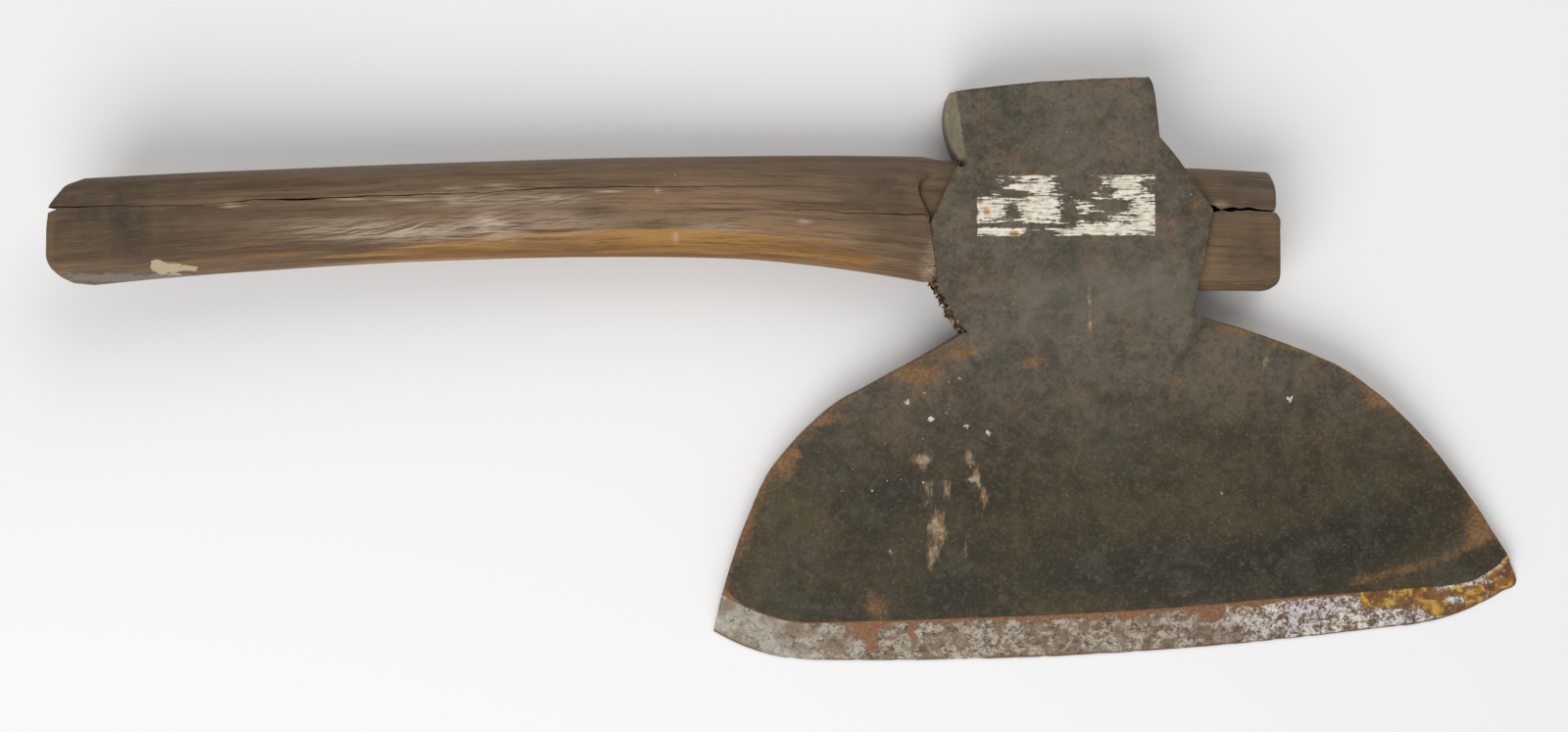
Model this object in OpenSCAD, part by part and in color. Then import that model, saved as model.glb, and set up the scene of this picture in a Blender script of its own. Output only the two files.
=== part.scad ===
// Broad axe with a single-bevel hewing head, lying on its flat side.
// +X runs along the eye towards the short end of the haft, +Y towards the poll,
// +Z out of the bevelled side. The origin is on the flat side under the eye's centre.

/* [Head outline] */
// Reach of the toe from the eye's centre, across the head
toe_reach = 161.5; // [150:0.5:170]
// Reach of the heel from the eye's centre, across the head
heel_reach = 144; // [134:1:152]
// Distance from the eye's centre to the middle of the cutting edge
edge_drop = 161.5; // [155:0.5:172]
// How far the two tips stand back from the middle of the edge
tip_rise = 17.5; // [13:0.5:20]
// Distance from the eye's centre to the poll's face
poll_rise = 53; // [48:1:60]
// Width of the poll
poll_w = 74; // [68:1:78]
// Width across the points of the two ears
ear_w = 104; // [98:1:110]
// Width of the neck under the ears
neck_w = 85; // [80:1:90]
// Distance from the eye's centre to the neck
neck_drop = 36; // [33:1:38]
// Angle by which the head hangs away from square with the haft
hang = 5.6; // [0:0.2:8]

/* [Head thickness] */
// Thickness over the eye
eye_t = 38; // [36:0.5:44]
// Thickness at the poll's face
poll_t = 31; // [28:0.5:36]
// Thickness of the blade just under the neck
blade_root_t = 14; // [12:0.5:16]
// Thickness of the blade where the bevel starts
grind_t = 6.8; // [5.5:0.1:8]
// Thickness of the blade's front corner at the toe
toe_t = 4.6; // [4:0.1:6]
// Thickness of the blade's back corner at the heel
heel_t = 6; // [5:0.1:7]
// Width of the blunt line left at the cutting edge
edge_t = 0.6; // [0.4:0.1:1]
// Width of the bevel along the middle of the edge
bevel_w = 16; // [13:0.5:18]
// Width of the bevel at the toe
toe_bevel_w = 8; // [7:0.5:12]

/* [Steel bit] */
// Thickness of the steel laid on the flat side
bit_t = 4.4; // [3:0.1:5]
// How far the laid steel reaches up the flat side
bit_l = 56; // [40:1:70]

/* [Eye] */
// Height of the eye, along the head
eye_h = 45; // [42:0.5:46]
// Width of the eye, through the head
eye_w = 25; // [22:0.5:26]
// Corner radius of the eye
eye_r = 8; // [6:0.5:11]

/* [Haft] */
// Reach of the butt from the eye's centre
butt_reach = 375; // [340:1:420]
// Reach of the tongue from the eye's centre
tongue_reach = 76.5; // [70:0.5:90]
// Thickness of the haft at its shoulder
shoulder_t = 31; // [29:0.5:34]
// Thickness of the haft at its butt
butt_t = 27; // [24:0.5:31]
// How far the butt sways away from the plane of the flat side
sway = 20; // [10:1:35]
// Fall of the haft's upper edge from the eye to the butt
upper_fall = 18.5; // [12:0.5:24]
// Fall of the haft's lower edge from the waist to the butt
lower_fall = 17; // [12:0.5:21]

/* [Wedges] */
// Thickness of the wooden wedge at the end of the tongue
wood_wedge_t = 3.6; // [2.5:0.1:4.5]
// Thickness of the iron wedge at its head
iron_wedge_t = 2; // [1.2:0.1:3]

/* [Hidden] */
eye_z = eye_t / 2;
// How far the cutting shapes reach past the head, and the sideways reach of those that trim the haft
past = 5;
wide = 60;

function unit(v) = v / norm(v);
function right_of(v) = [v[1], -v[0]];

// Points along an arc from p to just before q, standing out by sag to the right of the way
function on_arc(p, q, sag, t) =
    p + (q - p) * t + right_of(unit(q - p)) * sag * 4 * t * (1 - t);
function arc(p, q, sag, n = 12) = [for (i = [0:n - 1]) on_arc(p, q, sag, i / n)];

// Head outline, in the head's own frame with its poll straight up
poll_mid = -6;
poll_right = poll_mid + poll_w / 2 + 1;
poll_left = poll_mid - poll_w / 2;
poll_corner = 2.5;
poll_foot = [poll_left + 2, 26.5];
left_ear = [-ear_w / 2 - 1.5, 4];
right_ear = [ear_w / 2 - 1.5, 2];
left_ear_foot = [left_ear[0] + 1.5, -18];
right_ear_foot = [neck_w / 2 + 0.5, 10.5 - neck_drop];
left_neck = [-neck_w / 2, -neck_drop - 0.5];
right_neck = [neck_w / 2 - 0.5, -neck_drop + 0.5];
heel = [-heel_reach, tip_rise + 1 - edge_drop];
toe = [toe_reach, tip_rise - edge_drop];
heel_knee = heel + [24, 58];
heel_crown = heel_knee + [28, 25.5];
toe_knee = toe + [-24, 42.5];
toe_crown = toe_knee + [-41, 43];
edge_start = [42 - heel_reach, 4.6 - edge_drop];
edge_stop = [toe_reach - 51, 3 - edge_drop];
edge_sag = 3.8;

cutting_edge = concat(
    arc(heel, edge_start, 3.4, 8),
    arc(edge_start, edge_stop, edge_sag, 16),
    arc(edge_stop, toe, 3.8, 10),
    [toe]);

blade_outline = concat(
    [left_neck],
    arc(left_neck, heel_crown, -0.2, 4),
    arc(heel_crown, heel_knee, 1.3, 6),
    arc(heel_knee, heel, 1.9, 10),
    cutting_edge,
    arc(toe, toe_knee, 1.2, 8),
    arc(toe_knee, toe_crown, 2.8, 12),
    arc(toe_crown, right_neck, 1.3, 10),
    [right_neck]);

// The eye's block fades into the blade below the neck
fade_half_w = 30;
fade_drop = 68;
eye_block_outline = concat(
    [[poll_right, poll_rise - poll_corner]],
    arc([poll_right - poll_corner, poll_rise], [poll_left, poll_rise - 0.5], 0.8, 8),
    arc([poll_left, poll_rise - 0.5], poll_foot, 2.8, 12),
    [poll_foot, left_ear, left_ear_foot, left_neck],
    [[-fade_half_w, -fade_drop], [fade_half_w, -fade_drop]],
    [right_neck, right_ear_foot, right_ear, [poll_right + 0.5, 30], [poll_right + 0.5, 44]]);

// Front face of the eye's block, seen along the eye: flat over the eye, then hollow to the blade
hollow_sag = -4;
eye_block_side = concat(
    [[poll_rise + 2, 0], [poll_rise + 2, poll_t - 0.6], [24, eye_t]],
    arc([-22, eye_t], [-fade_drop, blade_root_t], hollow_sag, 14),
    [[-fade_drop, blade_root_t], [-fade_drop - 2, blade_root_t - 0.5], [-fade_drop - 2, 0]]);

// Front face of the blade: straight from the neck down to the bevel
grind_y = bevel_w - edge_drop;
blade_fall = (blade_root_t - grind_t) / (-fade_drop - grind_y);
function blade_z(y) = grind_t + (y - grind_y) * blade_fall;
blade_top_y = -20;
blade_side = [[blade_top_y, 0], [blade_top_y, blade_z(blade_top_y)],
    [-edge_drop - past, blade_z(-edge_drop - past)], [-edge_drop - past, 0]];

// Both corners of the blade thin out towards the tips
thin_from_x = 66;
full_t = blade_z(0);
toe_fall = (full_t - toe_t) / (toe_reach - thin_from_x);
heel_fall = (full_t - heel_t) / (heel_reach - thin_from_x);
function corner_z(x) =
    x > thin_from_x ? full_t - (x - thin_from_x) * toe_fall :
    x < -thin_from_x ? full_t + (x + thin_from_x) * heel_fall : full_t;
corner_side = [[-heel_reach - past, 0], [toe_reach + past, 0],
    [toe_reach + past, corner_z(toe_reach + past)], [thin_from_x, full_t],
    [-thin_from_x, full_t], [-heel_reach - past, corner_z(-heel_reach - past)]];

// The bevel: at every point of the edge a slope from the blunt line up to the grind line
bevel_overrun = 4;
tip_overrun = 14;
last = len(cutting_edge) - 1;
function edge_dir(i) = unit(cutting_edge[min(i + 1, last)] - cutting_edge[max(i - 1, 0)]);
bevel_line = concat(
    [cutting_edge[0] - edge_dir(0) * tip_overrun],
    cutting_edge,
    [cutting_edge[last] + edge_dir(last) * tip_overrun]);
function bevel_dir(i) = edge_dir(max(0, min(last, i - 1)));
function bevel_width(x) =
    x < edge_stop[0] ? bevel_w
    : bevel_w - (bevel_w - toe_bevel_w) * min(1, (x - edge_stop[0]) / (toe_reach - edge_stop[0]));
function bevel_ring(i) =
    let (p = bevel_line[i],
         inward = -right_of(bevel_dir(i)),
         w = bevel_width(p[0]),
         g = p + inward * w,
         slope = (min(blade_z(g[1]), corner_z(g[0])) - edge_t) / w,
         far = p - inward * bevel_overrun,
         near = g + inward * bevel_overrun)
    [[far[0], far[1], edge_t - slope * bevel_overrun],
     [near[0], near[1], edge_t + slope * (w + bevel_overrun)],
     [near[0], near[1], eye_t],
     [far[0], far[1], eye_t]];

// Laid steel, seen along the eye: a plate with a scarfed upper end
bit_top_y = bit_l - edge_drop;
scarf_l = 8;
bit_side = [[-edge_drop - past, -1], [-edge_drop - past, bit_t], [bit_top_y - scarf_l, bit_t],
    [bit_top_y, 0], [bit_top_y, -1]];

// Haft: upper and lower edges, swept as a rounded section
shoulder_x = -55.5;
waist_x = -125;
upper_at_eye = 24;
lower_at_waist = -16.4;
lower_at_eye = -22.8;
function haft_upper(x) = upper_at_eye - upper_fall * pow(max(0, -60 - x) / 300, 1.5);
function haft_lower(x) =
    x < waist_x ? lower_at_waist - lower_fall * pow((waist_x - x) / 230, 1.8)
    : lower_at_waist + (lower_at_eye - lower_at_waist)
        * pow((x - waist_x) / (shoulder_x - waist_x), 1.6);
function haft_run(x) = (shoulder_x - x) / (butt_reach + shoulder_x);
function haft_z(x) = eye_z + sway * pow(max(0, haft_run(x)), 1.5);
function haft_t(x) = shoulder_t + (butt_t - shoulder_t) * haft_run(x);
haft_sides = 32;
haft_stations = 22;
section_power = 0.72;
function rounded(c) = sign(c) * pow(abs(c), section_power);
function haft_ring(x) =
    let (top = haft_upper(x), bottom = haft_lower(x))
    [for (i = [0:haft_sides - 1])
        let (a = 360 * i / haft_sides)
        [x,
         (top + bottom) / 2 + (top - bottom) / 2 * rounded(cos(a)),
         haft_z(x) + haft_t(x) / 2 * rounded(sin(a))]];
haft_rings = [for (k = [0:haft_stations])
    haft_ring(-butt_reach - 1 + (butt_reach + 1 + shoulder_x) * k / haft_stations)];
butt_trim = concat(
    arc([10 - butt_reach, 10], [-butt_reach + 1.5, -8], 2, 6),
    arc([-butt_reach + 1.5, -8], [-butt_reach + 2, -27], 1, 6),
    arc([-butt_reach + 2, -27], [14 - butt_reach, -36], 3, 6),
    [[14 - butt_reach, -wide], [0, -wide], [0, wide], [10 - butt_reach, wide]]);

// Tongue: its end is worn round above the split and stands a little proud below it
split_y = 6.8;
tongue_set_back = 2.6;
tongue_trim = [[shoulder_x - 1, -wide], [tongue_reach - 3, -wide], [tongue_reach - 3, -22.5],
    [tongue_reach - 0.5, -20], [tongue_reach, -16], [tongue_reach, split_y - 2],
    [tongue_reach - 1, split_y], [tongue_reach - tongue_set_back, split_y],
    [tongue_reach - tongue_set_back, 14], [tongue_reach - 4, 19],
    [tongue_reach - 6.5, 22.5], [tongue_reach - 6.5, wide], [shoulder_x - 1, wide]];

// Kerf and split that hold the two wedges
kerf_x = -30;
kerf_t = 1;
split_x = 14;
iron_wedge_x = 16;
iron_wedge_l = 27;
iron_wedge_w = 19;
split_tip_t = 0.3;
split_lip_t = 1.4;
split_end_t = 0.8;
iron_head_x = iron_wedge_x + iron_wedge_l;
function split_t(x) =
    split_tip_t + (iron_wedge_t - split_tip_t) * (x - split_x) / (iron_head_x - split_x);

// Closed solid through a list of equal rings
module sweep(rings) {
    n = len(rings[0]);
    m = len(rings);
    points = [for (ring = rings) each ring];
    walls = [for (k = [0:m - 2]) for (i = [0:n - 1])
        let (j = (i + 1) % n)
        each [[k * n + i, (k + 1) * n + j, k * n + j], [k * n + i, (k + 1) * n + i, (k + 1) * n + j]]];
    ends = [[for (i = [0:n - 1]) i], [for (i = [n - 1:-1:0]) (m - 1) * n + i]];
    polyhedron(points, concat(walls, ends), convexity = 6);
}

// Extrusions that put an outline's first axis along X, Y or X and its second along Y, Z or Z
module upright(outline, height) {
    translate([0, 0, -1]) linear_extrude(height + 1) polygon(outline);
}

module along_x(outline, from, to) {
    translate([from, 0, 0]) rotate([90, 0, 90]) linear_extrude(to - from) polygon(outline);
}

module along_y(outline, from, to) {
    translate([0, to, 0]) rotate([90, 0, 0]) linear_extrude(to - from) polygon(outline);
}

module eye_section() {
    straight_h = eye_h - 2 * eye_r;
    straight_w = eye_w - 2 * eye_r;
    translate([0, eye_z]) {
        square([eye_h, straight_w], center = true);
        square([straight_h, eye_w], center = true);
        for (y = [-1, 1], z = [-1, 1])
            translate([y * straight_h / 2, z * straight_w / 2]) circle(eye_r, $fn = 48);
    }
}

module eye_bar(from, to) {
    translate([from, 0, 0]) rotate([90, 0, 90]) linear_extrude(to - from) eye_section();
}

module blade_plate() {
    intersection() {
        linear_extrude(eye_t) polygon(blade_outline);
        along_x(blade_side, -heel_reach - past, toe_reach + past);
        along_y(corner_side, -edge_drop - past, 0);
    }
}

// Slanted cut that leaves an oval facet on the poll's outer cheek
module cheek_facet() {
    lean = 14;
    translate([poll_left + 1.8, 20, poll_t + 1]) rotate([0, lean, 0])
        translate([-20, 0, -60]) cube([20, 50, 80]);
}

module eye_block() {
    difference() {
        intersection() {
            linear_extrude(eye_t) polygon(eye_block_outline);
            along_x(eye_block_side, -ear_w, ear_w);
        }
        cheek_facet();
    }
}

module bevel_waste() {
    sweep([for (i = [0:len(bevel_line) - 1]) bevel_ring(i)]);
}

module bit_zone() {
    along_x(bit_side, -heel_reach - past, toe_reach + past);
}

module head_body() {
    color("#4a463c") difference() {
        rotate([0, 0, hang]) difference() {
            union() {
                blade_plate();
                eye_block();
            }
            bevel_waste();
            bit_zone();
        }
        eye_bar(-ear_w, ear_w);
    }
}

module steel_bit() {
    color("#9a9890") rotate([0, 0, hang]) difference() {
        intersection() {
            blade_plate();
            bit_zone();
        }
        bevel_waste();
    }
}

module kerf() {
    along_y([[kerf_x, eye_z - kerf_t / 2], [tongue_reach + 1, eye_z - wood_wedge_t / 2],
        [tongue_reach + 1, eye_z + wood_wedge_t / 2], [kerf_x, eye_z + kerf_t / 2]], -30, 30);
}

module split() {
    lip = right_ear[0];
    upright([for (side = [-1, 1]) each
        let (way = [[split_x, split_tip_t], [iron_head_x, iron_wedge_t], [lip, split_lip_t],
                    [tongue_reach + 1, split_end_t]])
        [for (i = [0:3])
            let (w = way[side < 0 ? i : 3 - i])
            [w[0], split_y + side * w[1] / 2]]], eye_t + 1);
}

module tongue() {
    intersection() {
        eye_bar(shoulder_x, tongue_reach + 1);
        upright(tongue_trim, eye_t + 1);
    }
}

module haft() {
    color("#6b4a30") union() {
        intersection() {
            sweep(haft_rings);
            upright(butt_trim, eye_t + sway);
        }
        difference() {
            tongue();
            kerf();
            split();
        }
    }
}

module wooden_wedge() {
    color("#8a6a45") difference() {
        intersection() {
            tongue();
            kerf();
        }
        split();
    }
}

module iron_wedge() {
    color("#55504a") translate([0, 0, eye_z - iron_wedge_w / 2])
        linear_extrude(iron_wedge_w) polygon([
            [iron_wedge_x, split_y - split_t(iron_wedge_x) / 2],
            [iron_head_x, split_y - iron_wedge_t / 2],
            [iron_head_x, split_y + iron_wedge_t / 2],
            [iron_wedge_x, split_y + split_t(iron_wedge_x) / 2]]);
}

head_body();
steel_bit();
haft();
wooden_wedge();
iron_wedge();
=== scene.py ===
import math
import bmesh
import bpy
import numpy as np
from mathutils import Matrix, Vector


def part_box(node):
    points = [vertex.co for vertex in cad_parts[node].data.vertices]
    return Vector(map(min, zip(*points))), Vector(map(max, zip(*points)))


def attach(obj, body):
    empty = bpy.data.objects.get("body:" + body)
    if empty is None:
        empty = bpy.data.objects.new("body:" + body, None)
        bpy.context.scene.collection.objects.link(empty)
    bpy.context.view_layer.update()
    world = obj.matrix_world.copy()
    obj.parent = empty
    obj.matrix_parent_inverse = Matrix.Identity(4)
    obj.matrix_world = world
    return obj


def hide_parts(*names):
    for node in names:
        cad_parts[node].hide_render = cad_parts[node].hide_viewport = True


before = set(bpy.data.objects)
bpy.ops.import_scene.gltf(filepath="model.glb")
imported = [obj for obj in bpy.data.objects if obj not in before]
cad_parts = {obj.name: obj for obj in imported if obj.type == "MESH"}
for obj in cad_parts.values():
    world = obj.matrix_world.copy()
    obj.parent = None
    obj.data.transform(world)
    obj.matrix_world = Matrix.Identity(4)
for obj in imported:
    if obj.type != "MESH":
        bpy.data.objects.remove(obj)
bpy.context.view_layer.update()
mm = 0.001  # shapes are worked out in millimetres and put into the meshes in metres


def corners(node):  # lowest and highest corner of a CAD node, in mm
    low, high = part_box(node)
    return np.array(low) / mm, np.array(high) / mm


headHigh = corners("head_body")[1]
bitHigh = corners("steel_bit")[1]
haftLow, haftHigh = corners("haft")
eyeZ = headHigh[2] / 2  # the eye runs through the middle of the head's thickness


def smoothStep(x, low, high):  # 0 below low, 1 above high, an S between them
    t = np.clip((x - low) / (high - low), 0, 1)
    return t * t * (3 - 2 * t)


def smoothMax(a, b, width):  # the larger of two heights, with a fillet of that width
    h = np.clip(0.5 + (a - b) / (2 * width), 0, 1)
    return b + (a - b) * h + width * h * (1 - h)


def latticeValue(ix, iy, iz, seed):  # a repeatable number from 0 to 1 for each lattice point
    h = (ix * 73856093) ^ (iy * 19349663) ^ (iz * 83492791) ^ (seed * 961748927)
    h = ((h & 0x7FFFFFFF) ^ ((h & 0x7FFFFFFF) >> 13)) * 1274126177
    h = (h & 0x7FFFFFFF) ^ ((h & 0x7FFFFFFF) >> 16)
    return (h & 0xFFFF) / 65535.0


def noise(points, size, seed=0, octaves=3):
    # Lattice values blended by an S curve along each axis; each octave is half the size and weight
    total, weight, reach = 0.0, 1.0, 0.0
    for octave in range(octaves):
        p = points / (np.asarray(size, float) / 2 ** octave) + 1000.0
        cell = np.floor(p).astype(np.int64)
        t = p - cell
        t = t * t * (3 - 2 * t)
        x, y, z = cell[..., 0], cell[..., 1], cell[..., 2]
        value = 0.0
        for dx in (0, 1):
            for dy in (0, 1):
                for dz in (0, 1):
                    share = (np.abs(1 - dx - t[..., 0]) * np.abs(1 - dy - t[..., 1])
                             * np.abs(1 - dz - t[..., 2]))
                    value = value + share * latticeValue(x + dx, y + dy, z + dz, seed + octave)
        total = total + weight * (value * 2 - 1)
        reach += weight
        weight /= 2
    return total / reach


def arc(p, q, sag, count=24):
    # The chord from p to q plus a hump of height sag on the right of the way
    p, q = np.array(p, float), np.array(q, float)
    t = np.linspace(0, 1, count)[:, None]
    side = np.array([q[1] - p[1], p[0] - q[0]]) / np.linalg.norm(q - p)
    return p + (q - p) * t + side * sag * 4 * t * (1 - t)


def chain(*runs):  # runs of points end to end, shared ends dropped
    return np.vstack([runs[0]] + [np.atleast_2d(r)[1:] for r in runs[1:]])


def lengths(points):  # distance along a line of points, from its start
    return np.r_[0, np.cumsum(np.linalg.norm(np.diff(points, axis=0), axis=1))]


def resample(points, count):  # points evenly spaced by length
    steps = lengths(points)
    share = np.linspace(0, 1, count)
    return np.stack([np.interp(share * steps[-1], steps, points[:, k])
                     for k in range(points.shape[1])], 1)


def leftOf(points):  # unit vectors on the left of the way along a plane curve
    d = np.gradient(points, axis=0)
    return np.stack([-d[:, 1], d[:, 0]], 1) / np.maximum(np.linalg.norm(d, axis=1), 1e-9)[:, None]


def coons(top, bottom, left, right):
    # Coons patch: the two ruled surfaces through opposite sides, less the one through the corners
    u = np.linspace(0, 1, len(top))[None, :, None]
    v = np.linspace(0, 1, len(left))[:, None, None]
    ruled = (1 - v) * top[None] + v * bottom[None] + (1 - u) * left[:, None] + u * right[:, None]
    flat = ((1 - u) * (1 - v) * top[0] + u * (1 - v) * top[-1]
            + (1 - u) * v * bottom[0] + u * v * bottom[-1])
    return ruled - flat


def distanceTo(points, line):  # distance of plane points from a polyline
    best = np.full(len(points), 1e9)
    for start, step in zip(line[:-1], np.diff(line, axis=0)):
        t = np.clip(((points - start) @ step) / (step @ step), 0, 1)
        best = np.minimum(best, np.linalg.norm(points - start - t[:, None] * step, axis=1))
    return best


def gridFaces(rows, columns, closed=False):  # quads of a grid; closed joins the last column to the first
    r = np.arange(rows - 1)[:, None] * columns
    c = np.arange(columns if closed else columns - 1)[None, :]
    n = (c + 1) % columns
    return np.stack([r + c, r + n, r + columns + n, r + columns + c], -1).reshape(-1, 4)


def sheet(grid):  # an open grid of points with its quads
    return grid.reshape(-1, 3), gridFaces(*grid.shape[:2]), []


def tube(rings):  # quads between closed rings of points, and one face over each end
    count, n = rings.shape[:2]
    ends = [range(n), range((count - 1) * n, count * n)]
    return rings.reshape(-1, 3), gridFaces(count, n, closed=True), ends


def makePiece(name, parts, materials):
    # parts are (points in mm, array of quads, lists for the ends) that share their borders
    points, faces, first = np.vstack([p for p, _, _ in parts]), [], 0
    for p, quads, ends in parts:
        faces += (quads + first).tolist() + [(np.array(end) + first).tolist() for end in ends]
        first += len(p)
    mesh = bpy.data.meshes.new(name)
    mesh.from_pydata((points * mm).tolist(), [], faces)
    work = bmesh.new()
    work.from_mesh(mesh)
    bmesh.ops.remove_doubles(work, verts=work.verts, dist=2e-6)
    bmesh.ops.dissolve_degenerate(work, edges=work.edges, dist=1e-7)
    bmesh.ops.recalc_face_normals(work, faces=work.faces)
    work.to_mesh(mesh)
    work.free()
    piece = bpy.data.objects.new(name, mesh)
    bpy.context.scene.collection.objects.link(piece)
    for material in materials:
        mesh.materials.append(material)
    return piece


def carve(piece, cutters, way="DIFFERENCE"):
    # Takes closed shapes out one after another, or keeps what lies inside them, and removes the cutters
    for cutter in cutters:
        step = piece.modifiers.new("carve", "BOOLEAN")
        step.operation, step.solver, step.object = way, "EXACT", cutter
        bpy.context.view_layer.update()
        shape = bpy.data.meshes.new_from_object(
            piece.evaluated_get(bpy.context.evaluated_depsgraph_get()))
        piece.modifiers.clear()
        old = piece.data
        piece.data = shape
        bpy.data.meshes.remove(old)
        bpy.data.objects.remove(cutter)


def pointsOf(piece):  # a piece's points in mm
    points = np.empty(len(piece.data.vertices) * 3, np.float32)
    piece.data.vertices.foreach_get("co", points)
    return points.reshape(-1, 3).astype(float) / mm


def setMask(piece, name, values):  # a number for each vertex, for the material to read
    data = piece.data.attributes.new(name, "FLOAT", "POINT")
    data.data.foreach_set("value", np.asarray(values, np.float32))


def useMaterial(piece, place):  # gives every face the material in that place of the piece's list
    count = len(piece.data.polygons)
    piece.data.polygons.foreach_set("material_index", np.full(count, place, np.int32))


def smoothShade(piece, angle):
    piece.data.shade_smooth()
    piece.data.set_sharp_from_angle(angle=math.radians(angle))


def settle(piece, slot, *nodes):  # every piece rides on the one body and stands for its CAD node
    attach(piece, "root")
    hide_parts(*nodes)
    print(piece.name, len(piece.data.polygons), "faces")


class Nodes:  # one material's nodes, each made and linked by a short call
    def __init__(self, name):
        self.material = bpy.data.materials.new(name)
        self.material.use_nodes = True
        self.tree = self.material.node_tree
        self.tree.nodes.clear()
        self.out = self.tree.nodes.new("ShaderNodeOutputMaterial")
        self.shader = self.tree.nodes.new("ShaderNodeBsdfPrincipled")
        self.tree.links.new(self.shader.outputs[0], self.out.inputs[0])
        self.place = self.tree.nodes.new("ShaderNodeTexCoord").outputs["Object"]

    def put(self, socket, value):
        if isinstance(value, bpy.types.NodeSocket):
            self.tree.links.new(value, socket)
        else:
            socket.default_value = value

    def mapped(self, scale=(1, 1, 1), turn=0.0, move=(0, 0, 0)):
        node = self.tree.nodes.new("ShaderNodeMapping")
        self.put(node.inputs["Vector"], self.place)
        node.inputs["Location"].default_value = move
        node.inputs["Rotation"].default_value = (0, 0, turn)
        node.inputs["Scale"].default_value = scale
        return node.outputs[0]

    def noise(self, scale, detail=4.0, rough=0.55, warp=0.0, source=None):
        node = self.tree.nodes.new("ShaderNodeTexNoise")
        self.put(node.inputs["Vector"], source or self.place)
        node.inputs["Scale"].default_value = scale
        node.inputs["Detail"].default_value = detail
        node.inputs["Roughness"].default_value = rough
        node.inputs["Distortion"].default_value = warp
        return node.outputs["Fac"]

    def cells(self, scale):  # distance from the nearest of many scattered points
        node = self.tree.nodes.new("ShaderNodeTexVoronoi")
        self.put(node.inputs["Vector"], self.place)
        node.inputs["Scale"].default_value = scale
        return node.outputs["Distance"]

    def math(self, kind, a, b):
        node = self.tree.nodes.new("ShaderNodeMath")
        node.operation = kind
        for socket, value in zip(node.inputs, (a, b)):
            self.put(socket, value)
        return node.outputs[0]

    def span(self, value, low, high, start=0.0, stop=1.0):  # S-shaped mask between two values
        node = self.tree.nodes.new("ShaderNodeMapRange")
        node.interpolation_type = "SMOOTHSTEP"
        for socket, v in zip(node.inputs, (value, low, high, start, stop)):
            self.put(socket, v)
        return node.outputs[0]

    def mix(self, mask, a, b):
        node = self.tree.nodes.new("ShaderNodeMix")
        node.data_type = "RGBA"
        self.put(node.inputs[0], mask)
        self.put(node.inputs[6], a if isinstance(a, bpy.types.NodeSocket) else (*a, 1))
        self.put(node.inputs[7], b if isinstance(b, bpy.types.NodeSocket) else (*b, 1))
        return node.outputs[2]

    def times(self, *values):
        out = values[0]
        for v in values[1:]:
            out = self.math("MULTIPLY", out, v)
        return out

    def add(self, *values):
        out = values[0]
        for v in values[1:]:
            out = self.math("ADD", out, v)
        return out

    def sway(self, value, weight):  # how far a value is from a half, times a weight
        return self.times(self.math("SUBTRACT", value, 0.5), weight)

    def mask(self, name):
        node = self.tree.nodes.new("ShaderNodeAttribute")
        node.attribute_name = name
        return node.outputs["Fac"]

    def axes(self, source=None):
        node = self.tree.nodes.new("ShaderNodeSeparateXYZ")
        self.put(node.inputs[0], source or self.place)
        return node.outputs

    def joined(self, x, y, z):
        node = self.tree.nodes.new("ShaderNodeCombineXYZ")
        for socket, v in zip(node.inputs, (x, y, z)):
            self.put(socket, v)
        return node.outputs[0]

    def stretched(self, place, scale):  # each of the three distances times its own scale
        return self.joined(*[self.times(v, k) for v, k in zip(place, scale)])

    def box(self, source, x0, x1, y0, y1, soft):  # 1 inside a rectangle, fading over soft
        x, y, _ = self.axes(source)
        return self.times(self.span(x, x0 - soft, x0 + soft), self.span(x, x1 + soft, x1 - soft),
                          self.span(y, y0 - soft, y0 + soft), self.span(y, y1 + soft, y1 - soft))

    def bump(self, height, distance, strength):
        node = self.tree.nodes.new("ShaderNodeBump")
        node.inputs["Strength"].default_value = strength
        node.inputs["Distance"].default_value = distance
        self.put(node.inputs["Height"], height)
        return node.outputs[0]

    def finish(self, colour, roughness, normal=None, metallic=0.0, specular=0.5):
        self.put(self.shader.inputs["Base Color"], colour)
        self.put(self.shader.inputs["Roughness"], roughness)
        self.put(self.shader.inputs["Metallic"], metallic)
        self.shader.inputs["Specular IOR Level"].default_value = specular
        if normal is not None:
            self.put(self.shader.inputs["Normal"], normal)
        return self.material


head = {
    "hang": math.radians(5.6),   # the head hangs this far off square with the haft
    "pollTop": 53.0, "pollLeft": -43.0, "pollRight": 31.7,
    "leftFoot": (-41, 26.5), "leftEar": (-53.5, 4), "leftEarFoot": (-52, -18),
    "rightFoot": (32.4, 30), "rightEar": (50.5, 2), "rightEarFoot": (43, -25.5),
    "leftNeck": (-42.5, -36.5), "rightNeck": (42, -35.5),
    "heel": (-144, -143), "heelKnee": (-120, -85), "heelCrown": (-92, -59.5),
    "toeCrown": (96.5, -58.5), "toeKnee": (137.5, -101.5),
    "toeTop": (159.8, -141.0), "toeLow": (155.8, -147.3),
    "edgeStart": (-102, -156.9), "edgeStop": (110.5, -158.5), "grindY": -145.5,
    "eyeThick": headHigh[2], "pollThick": 31.0, "rootThick": 14.0, "grindThick": 6.8, "tipThick": 4.75,
    "worn": 0.15,                # gone from the front of the eye's block
    "facetSlope": 4.0, "facetEdge": 1.9,  # the worn facet along the poll's left side, and its foot's inset
    "hollowFrom": -22.0, "hollow": 14.5,  # the block starts down to the blade here, and is this hollow
    "fadeDrop": 68.0,            # it has sunk into the blade here
    "neckHalf": 42.3, "neckTaper": 12.5,  # half width of the block at the ears, and what it loses below
    "pollSlopeFrom": 20.0, "earDrop": 4.3,
    "bitThick": bitHigh[2], "bitTop": -105.5, "scarf": 8.0, "edgeLand": 0.6,
    "arris": 1.3, "bladeArris": 0.8,
    "columns": 190, "upperRows": 104, "bladeRows": 112, "bevelRows": 7,
}


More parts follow.
